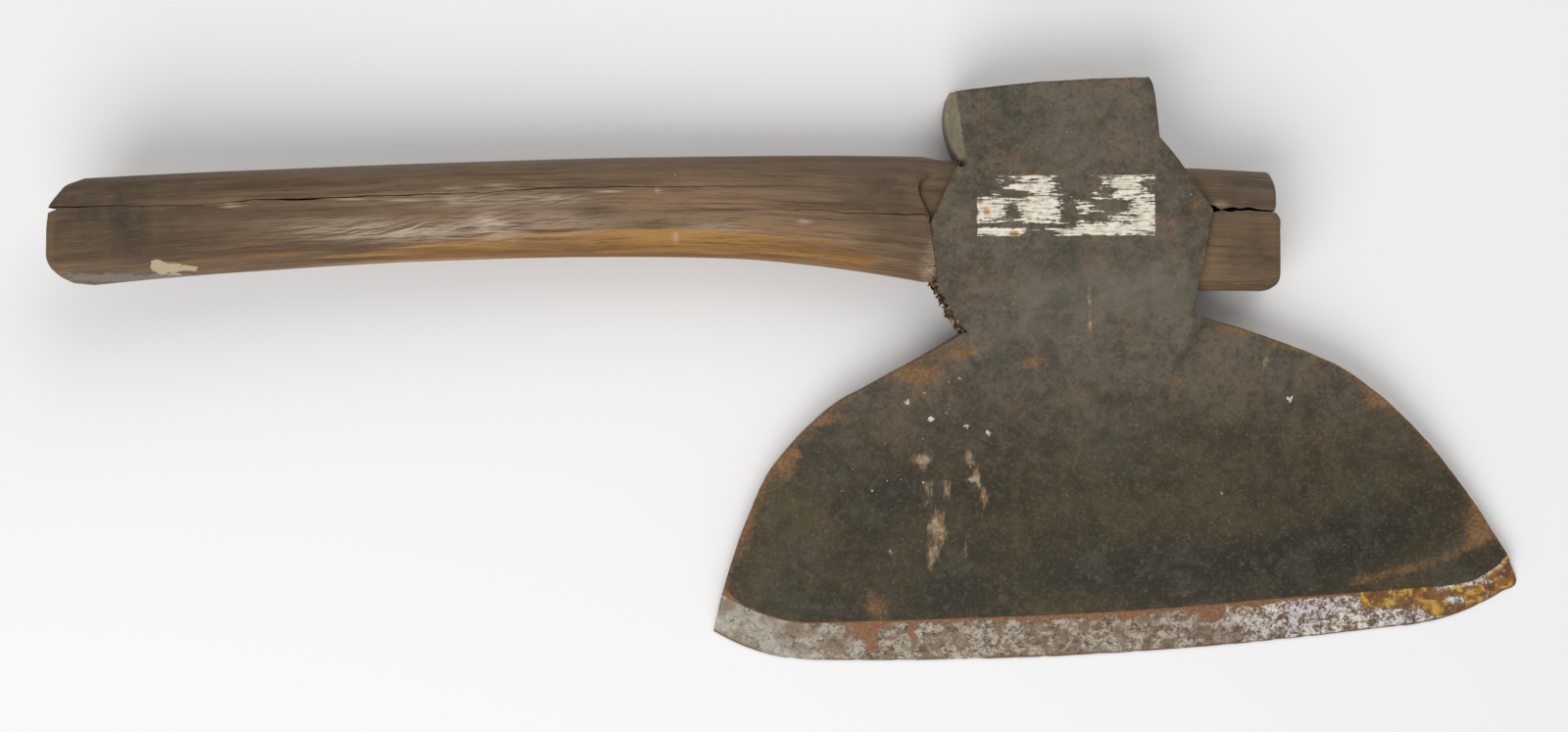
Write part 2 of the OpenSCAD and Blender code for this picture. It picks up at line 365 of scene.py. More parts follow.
def eased(points, reach):  # corners worn round: a running mean over twice that reach, ends kept
    fine = resample(points, 300)
    gap = np.linalg.norm(np.diff(fine, axis=0), axis=1).mean()
    n = max(1, int(reach / gap))
    padded = np.vstack([2 * fine[0] - fine[n:0:-1], fine, 2 * fine[-1] - fine[-2:-n - 2:-1]])
    total = np.vstack([np.zeros(2), np.cumsum(padded, axis=0)])
    return (total[2 * n + 1:] - total[:-2 * n - 1]) / (2 * n + 1)


def through(names, sags):  # arcs of the given sags from one of the head's corners to the next
    return chain(*[arc(head[a], head[b], sag) for a, b, sag in zip(names, names[1:], sags)])


def headSides():
    # Arcs between the outline's corners: both sides run from the poll down, the edge from heel to toe
    pollLeft = (head["pollLeft"], head["pollTop"] - 0.6)
    pollRight = (head["pollRight"] - 1.2, head["pollTop"] - 0.2)
    pollCheek = (head["pollRight"] + 0.5, 44)
    leftUpper = chain(arc(pollLeft, head["leftFoot"], 2.8),
                      through(("leftFoot", "leftEar", "leftEarFoot", "leftNeck"), (0.3, 0.4, 0.2)))
    leftLower = through(("leftNeck", "heelCrown", "heelKnee", "heel"), (-0.2, 1.3, 1.9))
    rightUpper = chain(arc(pollRight, pollCheek, -0.5), arc(pollCheek, head["rightFoot"], 0),
                       through(("rightFoot", "rightEar", "rightEarFoot", "rightNeck"), (-0.3, -0.3, 0)))
    rightLower = through(("rightNeck", "toeCrown", "toeKnee", "toeTop"), (-1.3, -2.8, -1.1))
    edge = chain(arc(head["heel"], head["edgeStart"], 3.4),
                 arc(head["edgeStart"], head["edgeStop"], 3.8, 60),
                 through(("edgeStop", "toeLow", "toeTop"), (3.2, 2.8)))
    return leftUpper, eased(leftLower, 5), rightUpper, eased(rightLower, 5), eased(edge, 2)


leftUpper, leftLower, rightUpper, rightLower, edgeLine = headSides()


def turned(points, angle):  # points turned to the left about the vertical through the origin
    c, s = math.cos(angle), math.sin(angle)
    out = np.array(points, float)
    out[..., 0] = points[..., 0] * c - points[..., 1] * s
    out[..., 1] = points[..., 0] * s + points[..., 1] * c
    return out


def toAxe(points):  # from the head's own frame to the frame of the whole axe
    return turned(points, head["hang"])


def toHead(points):  # and back
    return turned(points, -head["hang"])


def bevelWidth(x):  # 16 mm along the middle, a little less at the heel, half at the toe
    width = 16.2 - 1.8 * smoothStep(-x, 40, 130) - 2.0 * smoothStep(x, 60, 125)
    return width - 6.0 * smoothStep(x, 118, 160)


def edgeAndGrind(count):
    # The grind line is the edge moved inwards by the bevel's width, drawn onto the two shoulders
    edge = resample(edgeLine, count)
    grind = edge + leftOf(edge) * bevelWidth(edge[:, 0])[:, None]
    u = np.linspace(0, 1, count)[:, None]
    ends = []
    for side, tip in ((leftLower, 0), (rightLower, -1)):
        back = side[::-1]
        run = lengths(back)
        w = bevelWidth(edge[tip, 0]) * 1.02
        ends.append(np.array([np.interp(w, run, back[:, 0]), np.interp(w, run, back[:, 1])]))
    # the first 11% at the heel and the last 7% at the toe bend to the shoulders
    grind = grind + (ends[0] - grind[0]) * np.clip(1 - u / 0.11, 0, 1) ** 1.6
    grind = grind + (ends[1] - grind[-1]) * np.clip((u - 0.93) / 0.07, 0, 1) ** 2
    return edge, grind


def weldLine(edge, grind, grindZ):  # where the plane of the bevel meets the top of the laid steel
    share = (grindZ - head["bitThick"]) / (grindZ - head["edgeLand"])
    return grind + (edge - grind) * share[:, None]


def bladeHeight(x, y):
    # Thickness falls evenly from the neck to the grind line, and more towards both tips
    h = head
    rise = (h["rootThick"] - h["grindThick"]) / (-h["fadeDrop"] - h["grindY"])
    z = h["grindThick"] + (y - h["grindY"]) * rise
    z = z - 3.9 * smoothStep(x, 75, 175) - 1.6 * smoothStep(-x, 75, 150)
    return np.maximum(z, h["tipThick"])


def facetHeight(x):  # a steep plane that takes the corner off the poll's left side
    return head["pollThick"] + (x - (head["pollLeft"] + head["facetEdge"])) * head["facetSlope"]


def frontHeight(p):
    # The eye's block is flat over the eye, slopes to the poll and runs hollow into the blade;
    # outside its two lower edges it falls off steeply. The blade is the floor under it.
    h = head
    x, y = p[..., 0], p[..., 1]
    thick = h["eyeThick"] - h["worn"]
    t = np.clip((h["hollowFrom"] - y) / (h["fadeDrop"] + h["hollowFrom"]), 0, 1)
    block = thick - (thick - h["rootThick"] + 0.6) * t - h["hollow"] * t * (1 - t)
    block = block - 0.7 * np.maximum(0, -h["fadeDrop"] - y)
    toPoll = np.clip((y - h["pollSlopeFrom"]) / (h["pollTop"] - h["pollSlopeFrom"]), 0, 1.1)
    block = block - (thick - h["pollThick"]) * toPoll ** 1.25
    side = np.abs(x) - (h["neckHalf"] - h["neckTaper"] * smoothStep(-y, 36, h["fadeDrop"]))
    block = block - 1.2 * np.maximum(0, side) * (y < -34)
    blade = bladeHeight(x, y)
    z = np.where(y > -30, block, smoothMax(block, blade, 4.5))
    z = np.where((y > 24) & (x < -38), np.minimum(z, facetHeight(x)), z)
    # the right ear slopes to the wood
    z = z - h["earDrop"] * smoothStep(x, 36, 51.5) * smoothStep(y, -32, -22)
    p3 = np.stack([x, y, 0 * x], -1)
    wear = 0.16 * noise(p3, 22, 3, 2) + 0.10 * noise(p3, 7, 5, 2)
    pits = np.clip(noise(p3, 3.2, 9, 2) - 0.35, 0, 1) * 0.45
    return z + wear - pits


def backHeight(p):  # flat, then up the scarf onto the laid steel
    h = head
    return np.clip((h["bitTop"] - p[..., 1]) / h["scarf"], 0, 1) * h["bitThick"]


def rimStrip(front, back, outward, radius):
    # Quarter round off the front, straight wall, quarter round onto the back, for every rim point
    r = np.minimum(radius, (front[:, 2] - back[:, 2]) / 2)[None, :]
    turn = np.linspace(0, math.pi / 2, 4)[:, None]
    upper = np.stack([np.sin(turn) * r, front[None, :, 2] - (1 - np.cos(turn)) * r])
    lower = np.stack([np.cos(turn) * r, back[None, :, 2] + (1 - np.sin(turn)) * r])
    reach = np.vstack([upper[0], lower[0]])
    height = np.vstack([upper[1], lower[1]])
    flat = front[None, :, :2] + outward[None] * reach[..., None]
    return np.concatenate([flat, height[..., None]], -1)


def makeHead(materials):
    # Two Coons patches, poll to neck and neck to grind line, lifted to the front's and the back's height
    h = head
    n = h["columns"]
    edge, grind = edgeAndGrind(n)
    inset = np.r_[np.full(h["upperRows"], h["arris"]), np.full(h["bladeRows"] - 1, h["bladeArris"])]
    sides = []
    for upper, lower, tip, way in ((leftUpper, leftLower, 0, -1), (rightUpper, rightLower, -1, 1)):
        run = np.linalg.norm(lower - grind[tip], axis=1).argmin()
        lowerCut = np.vstack([lower[:run], grind[tip]])
        whole = np.vstack([resample(upper, h["upperRows"]), resample(lowerCut, h["bladeRows"])[1:]])
        inward = -way * leftOf(whole)
        sides.append(whole + inward * inset[:, None])
    left, right = sides
    neckRow = h["upperRows"] - 1
    share = np.linspace(0, 1, n)[:, None]
    top = left[0] * (1 - share) + right[0] * share
    top = top + np.array([0, 1.0]) * (1.3 * 4 * share * (1 - share)) + np.array([0, -h["arris"]])
    left[0, 1], right[0, 1] = top[0, 1], top[-1, 1]
    neck = left[neckRow] * (1 - share) + right[neckRow] * share
    upper = coons(top, neck, left[:neckRow + 1], right[:neckRow + 1])
    grind[0], grind[-1] = left[-1], right[-1]
    blade = coons(neck, grind, left[neckRow:], right[neckRow:])
    plan = np.vstack([upper, blade[1:]])
    frontZ = frontHeight(plan)
    backZ = backHeight(plan)
    # bevel rows: from the grind line down the bevel to the top of the laid steel
    grindZ = frontZ[-1]
    t = np.linspace(0, 1, h["bevelRows"] + 1)[1:, None, None]
    bevel = grind[None] * (1 - t) + weldLine(edge, grind, grindZ)[None] * t
    bevelZ = grindZ[None] * (1 - t[..., 0]) + h["bitThick"] * t[..., 0]
    bevelZ[:-1] += 0.06 * noise(np.concatenate([bevel, bevel[..., :1] * 0], -1), 5, 31, 2)[:-1]
    plan = np.vstack([plan, bevel])
    frontZ = np.vstack([frontZ, bevelZ])
    backZ = np.vstack([backZ, np.full(bevelZ.shape, h["bitThick"])])
    front = np.concatenate([plan, frontZ[..., None]], -1)
    back = np.concatenate([plan, backZ[..., None]], -1)
    rimFront, rimBack = [np.vstack([g[::-1, 0], g[0, 1:], g[1:, -1]]) for g in (front, back)]
    outward = leftOf(rimFront[:, :2])
    radius = np.full(len(rimFront), h["bladeArris"])
    radius[rimFront[:, 1] > -36] = h["arris"]
    strip = rimStrip(rimFront, rimBack, outward, radius)
    swell = 0.25 * noise(strip, 9, 41, 2) + 0.12 * noise(strip, 2.5, 43, 2)
    # the left ear's lower wall is rough with scale
    crumbs = smoothStep(strip[..., 1], -38, -34) * smoothStep(-strip[..., 1], 14, 19)
    crumbs = crumbs * (strip[..., 0] < 0)
    swell = swell + crumbs * np.clip(noise(strip, 1.9, 47, 2) + 0.1, 0, 1) * 2.4
    middle = np.array([0, 0.5, 1, 1, 1, 1, 0.5, 0])[:, None]
    strip[..., :2] += outward[None] * (swell * middle)[..., None]
    piece = makePiece("headBody", [sheet(toAxe(grid)) for grid in (front, back, strip)], materials)
    carve(piece, [eyeCutter()])
    return piece


eye = {"high": 45.5, "wide": 25.5, "corner": 8.2, "from": -75.0, "to": 72.0}


def roundedProfile(side, corner, face):
    # Share of the straight parts and of the corner radius in each profile point, by quadrant
    a = np.r_[np.ones(side), np.ones(corner), np.linspace(1, 0, face + 1)[:-1]]
    b = np.r_[np.ones(side), np.cos(np.linspace(0, math.pi / 2, corner + 1)[:-1]), np.zeros(face)]
    c = np.r_[np.linspace(0, 1, side + 1)[:-1], np.ones(corner), np.ones(face)]
    d = np.r_[np.zeros(side), np.sin(np.linspace(0, math.pi / 2, corner + 1)[:-1]), np.ones(face)]
    q = np.stack([a, b, c, d])
    # the second and fourth quadrants run the other way round
    back = np.stack([np.r_[0, a[:0:-1]], np.r_[0, b[:0:-1]], np.r_[1, c[:0:-1]], np.r_[1, d[:0:-1]]])
    whole = np.hstack([q, back, q, back])
    signY = np.repeat([1, -1, -1, 1], side + corner + face)
    signZ = np.repeat([1, 1, -1, -1], side + corner + face)
    return whole, signY, signZ


def ringPoints(profile, halfY, halfZ, radius):
    (a, b, c, d), signY, signZ = profile
    y = signY * (a * (halfY - radius) + b * radius)
    z = signZ * (c * (halfZ - radius) + d * radius)
    return y, z


def eyeCutter():  # the eye's rounded section carried straight through the head
    profile = roundedProfile(4, 8, 6)
    y, z = ringPoints(profile, eye["high"] / 2, eye["wide"] / 2, eye["corner"])
    x = np.linspace(eye["from"], eye["to"], 40)[:, None]
    rings = np.stack([x + 0 * y, y + 0 * x, eyeZ + z + 0 * x], -1)
    return makePiece("eyeCutter", [tube(rings)], [])


steel = {"columns": 430, "bevelRows": 11, "backRows": 30, "nick": 0.5}


def makeSteel(materials):
    # For each place along the edge a closed section: scarf, hidden face, bevel, blunt edge, flat side
    h = head
    n = steel["columns"]
    edge, grind = edgeAndGrind(n)
    p3 = np.column_stack([edge, np.zeros(n)])
    nicks = np.clip(noise(p3, 5, 61, 3) - 0.15, 0, 1) * steel["nick"] + 0.12 * (noise(p3, 14, 63, 2) + 1)
    nicks = nicks * np.clip(np.minimum(np.arange(n), np.arange(n)[::-1]) / 8, 0, 1)
    edge = edge + leftOf(edge) * nicks[:, None]
    weld = weldLine(edge, grind, bladeHeight(grind[:, 0], grind[:, 1]))
    upperEnds = []
    for side in (leftLower, rightLower):
        upperEnds.append([np.interp(-h["bitTop"], -side[:, 1], side[:, 0]), h["bitTop"]])
    u = np.linspace(0, 1, n)[:, None]
    top = np.array(upperEnds[0]) * (1 - u) + np.array(upperEnds[1]) * u
    sideRuns = []
    for side, tip in ((leftLower, 0), (rightLower, -1)):
        below = side[side[:, 1] < h["bitTop"] - 1]
        below = below[below[:, 1] > weld[tip, 1] + 0.5]
        sideRuns.append(resample(np.vstack([top[tip], below, weld[tip]]), steel["backRows"]))
    plate = coons(top, weld, sideRuns[0], sideRuns[1])
    t = np.linspace(0, 1, steel["bevelRows"] + 1)[1:, None, None]
    slope = weld[None] * (1 - t) + edge[None] * t
    slopeZ = h["bitThick"] * (1 - t[..., 0]) + h["edgeLand"] * t[..., 0] + 0 * slope[..., 0]
    ripple = 0.07 * noise(np.concatenate([slope, slope[..., :1] * 0], -1), 4.5, 65, 3)
    slopeZ[:-1] += ripple[:-1]
    flatPlan = np.vstack([plate, slope])[:0:-1]
    plan = np.vstack([plate, slope, flatPlan])
    z = np.vstack([backHeight(plate), slopeZ, np.zeros(flatPlan.shape[:2])])
    section = np.concatenate([plan, z[..., None]], -1).transpose(1, 0, 2)
    return makePiece("steelBit", [tube(toAxe(section))], materials)


haft = {
    "butt": haftLow[0], "tongue": haftHigh[0], "shoulder": -55.5, "waist": -125.0,
    "upperAtEye": 24.0, "upperFall": 18.5, "lowerAtWaist": -16.4, "lowerAtEye": -22.8, "lowerFall": 17.0,
    "sway": 20.0, "shoulderThick": 31.0, "buttThick": 27.0,
    "tenonHigh": 45.0, "tenonWide": 25.0, "splitY": 6.8, "setBack": 2.6,
    "buttArris": 2.2, "tongueArris": 1.3,
    "rows": (250, 44, 96), "capRows": 9,
}


def haftEdges(x):
    # Upper edge falls by a power of the distance from the eye; the lower one from the waist, both ways
    h = haft
    upper = h["upperAtEye"] - h["upperFall"] * (np.maximum(0, -60 - x) / 300) ** 1.5
    away = np.maximum(0, (h["waist"] - x) / 230) ** 1.8
    near = np.clip((x - h["waist"]) / (h["shoulder"] - h["waist"]), 0, 1) ** 1.6
    lower = h["lowerAtWaist"] - h["lowerFall"] * away + (h["lowerAtEye"] - h["lowerAtWaist"]) * near
    inEye = smoothStep(x, -58, -50)
    half = h["tenonHigh"] / 2 - 0.6 * smoothStep(x, 40, 76)
    return upper * (1 - inEye) + half * inEye, lower * (1 - inEye) - half * inEye


def haftMiddle(x):
    upper, lower = haftEdges(x)
    run = np.clip((haft["shoulder"] - x) / (-haft["butt"] + haft["shoulder"]), 0, 1.02)
    return (upper + lower) / 2, eyeZ + haft["sway"] * run ** 1.5, (upper - lower) / 2, run


def shoulderLine(y):
    # Where the handle's full thickness stops: torn back above the ear's point, against the ear below it
    torn = -54.4 - 4.2 * smoothStep(y, 0, 11)
    ear = -53.9 + (y + 1.2) * -0.165
    return np.where(y > -1.2, torn, ear)


def buttEnd(y):  # the butt's end from the front: cut slanting above the long check, round below it
    slant = 0.6 + 0.55 * np.maximum(0, y + 6.2) + 4.5 * np.clip((y - 0.5) / 4, 0, 1.2) ** 3
    lower = 0.2 + 0.4 * smoothStep(y, -14, -8) + 8.5 * np.clip((-23 - y) / 11, 0, 1.2) ** 2.4
    return haft["butt"] + np.where(y > -7.6, slant, lower)


def tongueEnd(y):  # the part above the split is set back and worn round, the part below stands square
    upper = haft["setBack"] + 2.4 * np.clip((y - 9) / 13.5, 0, 1.1) ** 2
    upper = upper + 1.4 * np.clip((21 - y) / -1.5, 0, 1.2) ** 2
    upper = upper + 1.2 * np.clip((9.8 - y) / 3, 0, 1) ** 2
    lower = 0.1 + 0.035 * (y + 20) + 1.8 * np.clip((y - 3.5) / 3.3, 0, 1) ** 2
    lower = lower + 4.8 * np.clip((-y - 17) / 5.5, 0, 1.1) ** 2.2
    step = smoothStep(y, haft["splitY"] - 0.3, haft["splitY"] + 0.3)
    return haft["tongue"] - 0.1 - lower + (lower - upper) * step


def haftSurface():
    # Rings of a flattened oval carried along the middle line; it narrows to the tenon in the eye
    profile = roundedProfile(9, 12, 17)
    h = haft
    first, middle, last = h["rows"]
    x = np.r_[np.linspace(h["butt"], -63, first), np.linspace(-63, -47, middle + 1)[1:],
              np.linspace(-47, h["tongue"], last + 1)[1:]][:, None]
    midY, _, halfY, _ = haftMiddle(x)
    y, _ = ringPoints(profile, halfY, 14, 8)
    toButt = smoothStep(np.arange(len(x)), 22, 0)[:, None]
    toTongue = smoothStep(np.arange(len(x))[::-1], 18, 0)[:, None]
    x = (x + toButt * (buttEnd(y + midY) + h["buttArris"] - h["butt"])
         + toTongue * (tongueEnd(y + midY) - h["tongueArris"] - h["tongue"]))
    midY, midZ, halfY, run = haftMiddle(x)
    inEye = smoothStep(x, -58, -51)
    halfZ = (h["shoulderThick"] + (h["buttThick"] - h["shoulderThick"]) * run) / 2
    radius = np.minimum((12.2 - 1.0 * run) * (1 - inEye) + 8.0 * inEye, halfZ - 0.5)
    y, z = ringPoints(profile, halfY, halfZ, radius)
    z = z * (1 - 0.07 * (y / halfY) ** 2 * (1 - inEye))
    y = y * (1 - 0.03 * (z / halfZ) ** 2 * (1 - inEye))
    # full thickness stops at the torn shoulder line; past it the section is the tenon's
    line = shoulderLine(y + midY)
    above = smoothStep(y + midY, 12, 19)
    drop = np.where(z > 0, smoothStep(x, line, line + 1.2 + 7.5 * above), smoothStep(x, -56.5, -54.5))
    z = z * (1 - drop * (1 - h["tenonWide"] / 2 / halfZ))
    points = np.stack([x, y + midY, z + midZ], -1)
    # hand-shaved surface: long shallow facets and fine lengthwise ridges, pushed inwards
    out = 0.28 * noise(points, [90, 16, 16], 71, 2) + 0.10 * noise(points, [60, 7, 7], 73, 3)
    out = out + 0.05 * noise(points, [25, 1.6, 1.6], 75, 2) - 0.28
    across = np.stack([0 * y, y / halfY, z / halfZ], -1)
    across = across / np.maximum(np.linalg.norm(across, axis=-1, keepdims=True), 1e-6)
    points = points + across * (out * (1 - 0.65 * inEye))[..., None]
    # ends: the ring shrinks to a point over a rounded arris and a nearly flat face
    share = np.sin(np.linspace(0, math.pi / 2, h["capRows"]))[::-1][1:-1, None]
    rim = np.sqrt(np.clip(1 - np.clip((share - 0.86) / 0.14, 0, 1) ** 2, 0, 1))
    caps = []
    for ring, endOf, arris, way in ((points[0], buttEnd, h["buttArris"], 1),
                                    (points[-1], tongueEnd, h["tongueArris"], -1)):
        centre = ring.mean(0)
        inner = centre + (ring - centre)[None] * share[..., None]
        rough = 0.2 * (noise(inner, 5, 77, 2) + 1)
        inner[..., 0] = endOf(inner[..., 1]) + way * (arris * (1 - rim) + rough)
        caps.append(inner)
    return np.concatenate([caps[0][::-1], points, caps[1]]), [caps[0][-1].mean(0), caps[1][-1].mean(0)]


def wholeHaft(name, materials):  # the haft before the checks, the kerf and the split
    rings, poles = haftSurface()
    count, n = rings.shape[:2]
    flat = np.vstack([rings.reshape(-1, 3), poles])
    ring = np.arange(n)
    fans = [np.column_stack([0 * ring + pole, start + ring, start + (ring + 1) % n]).tolist()
            for pole, start in ((count * n, 0), (count * n + 1, (count - 1) * n))]
    return makePiece(name, [(flat, gridFaces(count, n, closed=True), fans[0] + fans[1])], materials)


def makeHaft(materials):
    piece = wholeHaft("haftWood", materials)
    carve(piece, [crackCutters(), kerfCutter()])
    return piece


def makeWedge(materials):  # the part of the whole haft that fills the kerf, parted by the split
    piece = wholeHaft("woodenWedge", materials)
    carve(piece, [kerfCutter(-0.03)], "INTERSECT")
    carve(piece, [crackCutters()])
    useMaterial(piece, 0)
    return piece


cracks = {
    # route over the front face (x, y), the gap at each of its points, and the depth, in mm
    "longCheck": {
        "route": [(-378, -6.6), (-347, -5.2), (-320, -4.2), (-300, -1.4), (-283, -0.4), (-268, 1.0),
                  (-235, 3.3), (-216, 4.4), (-200, 6.4), (-170, 8.0), (-130, 9.6), (-96, 10.6)],
        "gap": [1.5, 0.55, 0.5, 0.7, 1.7, 0.75, 0.6, 0.75, 0.75, 0.65, 0.5, 0.1], "deep": 6.0},
    "buttNotch": {
        "route": [(-378, -7.3), (-374, -7.6), (-370, -7.2)],
        "gap": [2.6, 1.9, 0.2], "deep": 60.0},
    "eyeCheck": {
        "route": [(-124, 1.6), (-108, 1.9), (-96, 2.0), (-80, 1.4), (-66, 1.7), (-55.5, 1.6)],
        "gap": [0.05, 0.4, 0.35, 0.5, 0.6, 0.7], "deep": 5.0},
    "lowCheck": {
        "route": [(-78, -9.0), (-70, -8.8), (-63, -8.6)],
        "gap": [0.05, 0.3, 0.05], "deep": 2.0},
    "tornShoulder": {
        "route": [(-57.9, 20.5), (-59.2, 15.8), (-58.3, 11.2), (-57.6, 8.0), (-56.0, 4.6), (-54.7, 0.2)],
        "gap": [0.1, 0.35, 0.6, 0.5, 0.4, 0.5], "deep": 2.6},
    "split": {
        "route": [(30, 6.5), (46, 8.4), (50, 7.8), (53, 6.4), (57, 7.6), (60, 7.3), (63, 8.0), (67, 7.2),
                  (79, 6.9)],
        "gap": [1.2, 1.8, 2.0, 1.4, 2.2, 1.0, 1.5, 0.8, 0.9], "deep": 60.0},
}
crackSway = 0.45  # how far a crack strays to each side of its route, in mm


def crackCutters():
    # A thin upright blade carried along each route, its gap swelling and shrinking on the way
    parts = []
    for seed, c in enumerate(cracks.values()):
        route = np.array(c["route"], float)
        count = max(14, int(np.linalg.norm(np.diff(route, axis=0), axis=1).sum() / 1.5))
        line = resample(np.column_stack([route, c["gap"]]), count)
        p3 = np.column_stack([line[:, 0], line[:, 1], np.full(count, 7.0 * seed)])
        side = leftOf(line[:, :2])
        plan = line[:, :2] + side * (noise(p3, 7, 81, 3) * crackSway)[:, None]
        gap = np.maximum(0.04, line[:, 2] * (1 + 0.5 * noise(p3, 4, 83, 2))) / 2
        midZ = haftMiddle(plan[:, 0])[1]
        top = midZ + 20
        bottom = np.maximum(midZ + 15 - c["deep"] * (0.8 + 0.2 * noise(p3, 12, 85, 1)), -5)
        foot = gap * (0.1 if c["deep"] < 50 else 1)  # a check ends in a keel, a split goes right through
        section = ((gap, top), (-gap, top), (-foot, bottom), (foot, bottom))
        rings = [np.column_stack([plan + side * out[:, None], z]) for out, z in section]
        parts.append(tube(np.stack(rings, 1)))
    # the cutter's faces give the crack walls the dark wood, painted shade
    cutter = makePiece("crackCutter", parts, [bareWood, shadedCrackWood])
    useMaterial(cutter, 1)
    return cutter


kerf = {"from": -30.0, "thin": 1.0, "thick": 3.6, "reach": 30.0}


def kerfCutter(grow=0.05):
    # Flat wedge shape in the plane of the eye's long direction, thicker towards the tongue's end
    x = np.linspace(kerf["from"], haft["tongue"] + 2, 20)
    half = np.interp(x, [kerf["from"], haft["tongue"] + 1], [kerf["thin"] / 2, kerf["thick"] / 2]) + grow
    reach = kerf["reach"]
    section = ((-reach, -half), (reach, -half), (reach, half), (-reach, half))
    rings = np.stack([np.column_stack([x, 0 * x + y, eyeZ + z]) for y, z in section], 1)
    # the kerf's walls take the same painted-shade wood
    cutter = makePiece("kerfCutter", [tube(rings)], [bareWood, shadedCrackWood])
    useMaterial(cutter, 1)
    return cutter


def woodFinish():
    # Long noise cells stretched along the haft for the grain; large areas come from the masks
    n = Nodes("agedHaftWood")
    along, across, side = n.mask("along"), n.mask("across"), n.mask("side")
    across = n.add(across, n.sway(n.noise(28, 3, 0.6), 3.2))  # the grain wanders
    place = along, across, side
    broad = n.noise(1, 3, 0.5, 0.3, n.stretched(place, (0.009, 0.16, 0.16)))
    streak = n.noise(1, 5, 0.6, 0.2, n.stretched(place, (0.02, 0.55, 0.5)))
    fine = n.noise(1, 4, 0.7, 0.1, n.stretched(place, (0.05, 1.9, 1.7)))
    pores = n.noise(1, 2, 0.6, 0, n.stretched(place, (0.22, 5.5, 5)))
    rising = n.math("SUBTRACT", across, n.times(along, 0.16))
    ripple = n.noise(1, 3, 0.55, 0.5, n.stretched((along, rising, side), (0.07, 1.15, 0.5)))
    cloud, mottle = n.noise(30, 3, 0.55), n.noise(110, 4, 0.6)
    base = n.mix(n.span(n.add(n.times(broad, 0.6), n.times(streak, 0.4)), 0.38, 0.62),
                 (0.100, 0.060, 0.033), (0.196, 0.123, 0.068))
    tawny = n.times(n.mask("tawny"), n.span(n.add(streak, n.times(broad, 0.4)), 0.45, 0.80))
    base = n.mix(tawny, base, (0.285, 0.178, 0.100))
    # painted light: the rounded lower side drawn warmer and lighter where it faces the light
    litUnderside = n.span(n.add(n.mask("litUnderside"), n.sway(streak, 2.8)), 0.25, 1.0, 0.0, 0.9)
    amber = n.mix(n.span(broad, 0.4, 0.62), (0.215, 0.095, 0.024), (0.42, 0.215, 0.050))
    base = n.mix(litUnderside, base, amber)
    grime = n.mix(n.span(mottle, 0.35, 0.65), (0.056, 0.041, 0.023), (0.106, 0.073, 0.041))
    base = n.mix(n.times(n.mask("grime"), n.span(cloud, 0.25, 0.62, 0.55, 0.95)), base, grime)
    # the upper side greyer: partly the wood's own grey, partly a painted sheen towards the top edge
    greySheen = n.times(n.mask("upper"), n.span(n.add(broad, n.times(cloud, 0.5)), 0.55, 0.95), 0.7)
    base = n.mix(greySheen, base, (0.148, 0.104, 0.074))
    # pale streaks in the middle band: partly the wood's own pale streaks, partly a painted highlight
    pale = n.span(n.add(n.times(fine, 0.55), n.times(ripple, 0.55)), 0.44, 0.64)
    base = n.mix(n.times(n.mask("pale"), pale), base, (0.55, 0.435, 0.33))
    base = n.mix(n.times(n.span(fine, 0.47, 0.32), 0.65), base, (0.052, 0.031, 0.018))
    base = n.mix(n.times(n.mask("litUnderside"), n.span(streak, 0.50, 0.36), 0.6), base, (0.115, 0.058, 0.022))
    base = n.mix(n.times(n.span(fine, 0.54, 0.72), 0.32), base, (0.30, 0.215, 0.15))
    base = n.mix(n.times(n.span(pores, 0.60, 0.72), 0.45), base, (0.045, 0.028, 0.018))
    base = n.mix(n.times(n.span(pores, 0.36, 0.28), 0.35), base, (0.34, 0.26, 0.19))
    base = n.mix(n.times(n.span(ripple, 0.58, 0.70), n.mask("curl"), 0.45), base, (0.06, 0.038, 0.024))
    base = n.mix(n.times(n.mask("fray"), n.span(fine, 0.38, 0.55)), base, (0.52, 0.40, 0.27))
    worn = n.times(n.mask("cut"), n.span(mottle, 0.3, 0.6, 0.4, 0.9))
    base = n.mix(worn, base, (0.165, 0.10, 0.055))
    specks = n.times(n.span(n.cells(240), 0.09, 0.05), n.span(mottle, 0.60, 0.66), 0.6)
    base = n.mix(specks, base, (0.45, 0.38, 0.30))
    ragged = n.sway(n.noise(250, 5, 0.75, 0.8, n.mapped((0.4, 1, 1))), 3.2)
    smear = n.times(n.span(n.add(n.mask("smear"), ragged), 0.42, 0.55), n.span(n.mask("smear"), 0.08, 0.25))
    base = n.mix(n.times(smear, 0.75), base, (0.205, 0.185, 0.165))
    cream = n.times(n.span(n.add(n.mask("cream"), ragged), 0.46, 0.52), n.span(n.mask("cream"), 0.08, 0.2))
    base = n.mix(cream, base, (0.46, 0.38, 0.235))
    height = n.add(n.times(fine, 0.7), n.times(pores, 0.35), n.times(ripple, n.mask("curl"), 0.4))
    normal = n.bump(height, 0.35 * mm, 0.6)
    return n.finish(base, n.span(fine, 0.2, 0.9, 0.44, 0.70), normal, specular=0.22)


def bareFinish(name, dark, pale):  # unfinished fibres between two colours
    n = Nodes(name)
    fibre = n.noise(160, 5, 0.7, 0.2, n.mapped((0.08, 1, 1)))
    colour = n.mix(n.span(fibre, 0.35, 0.7), dark, pale)
    return n.finish(colour, 0.85, n.bump(fibre, 0.4 * mm, 0.7), specular=0.2)


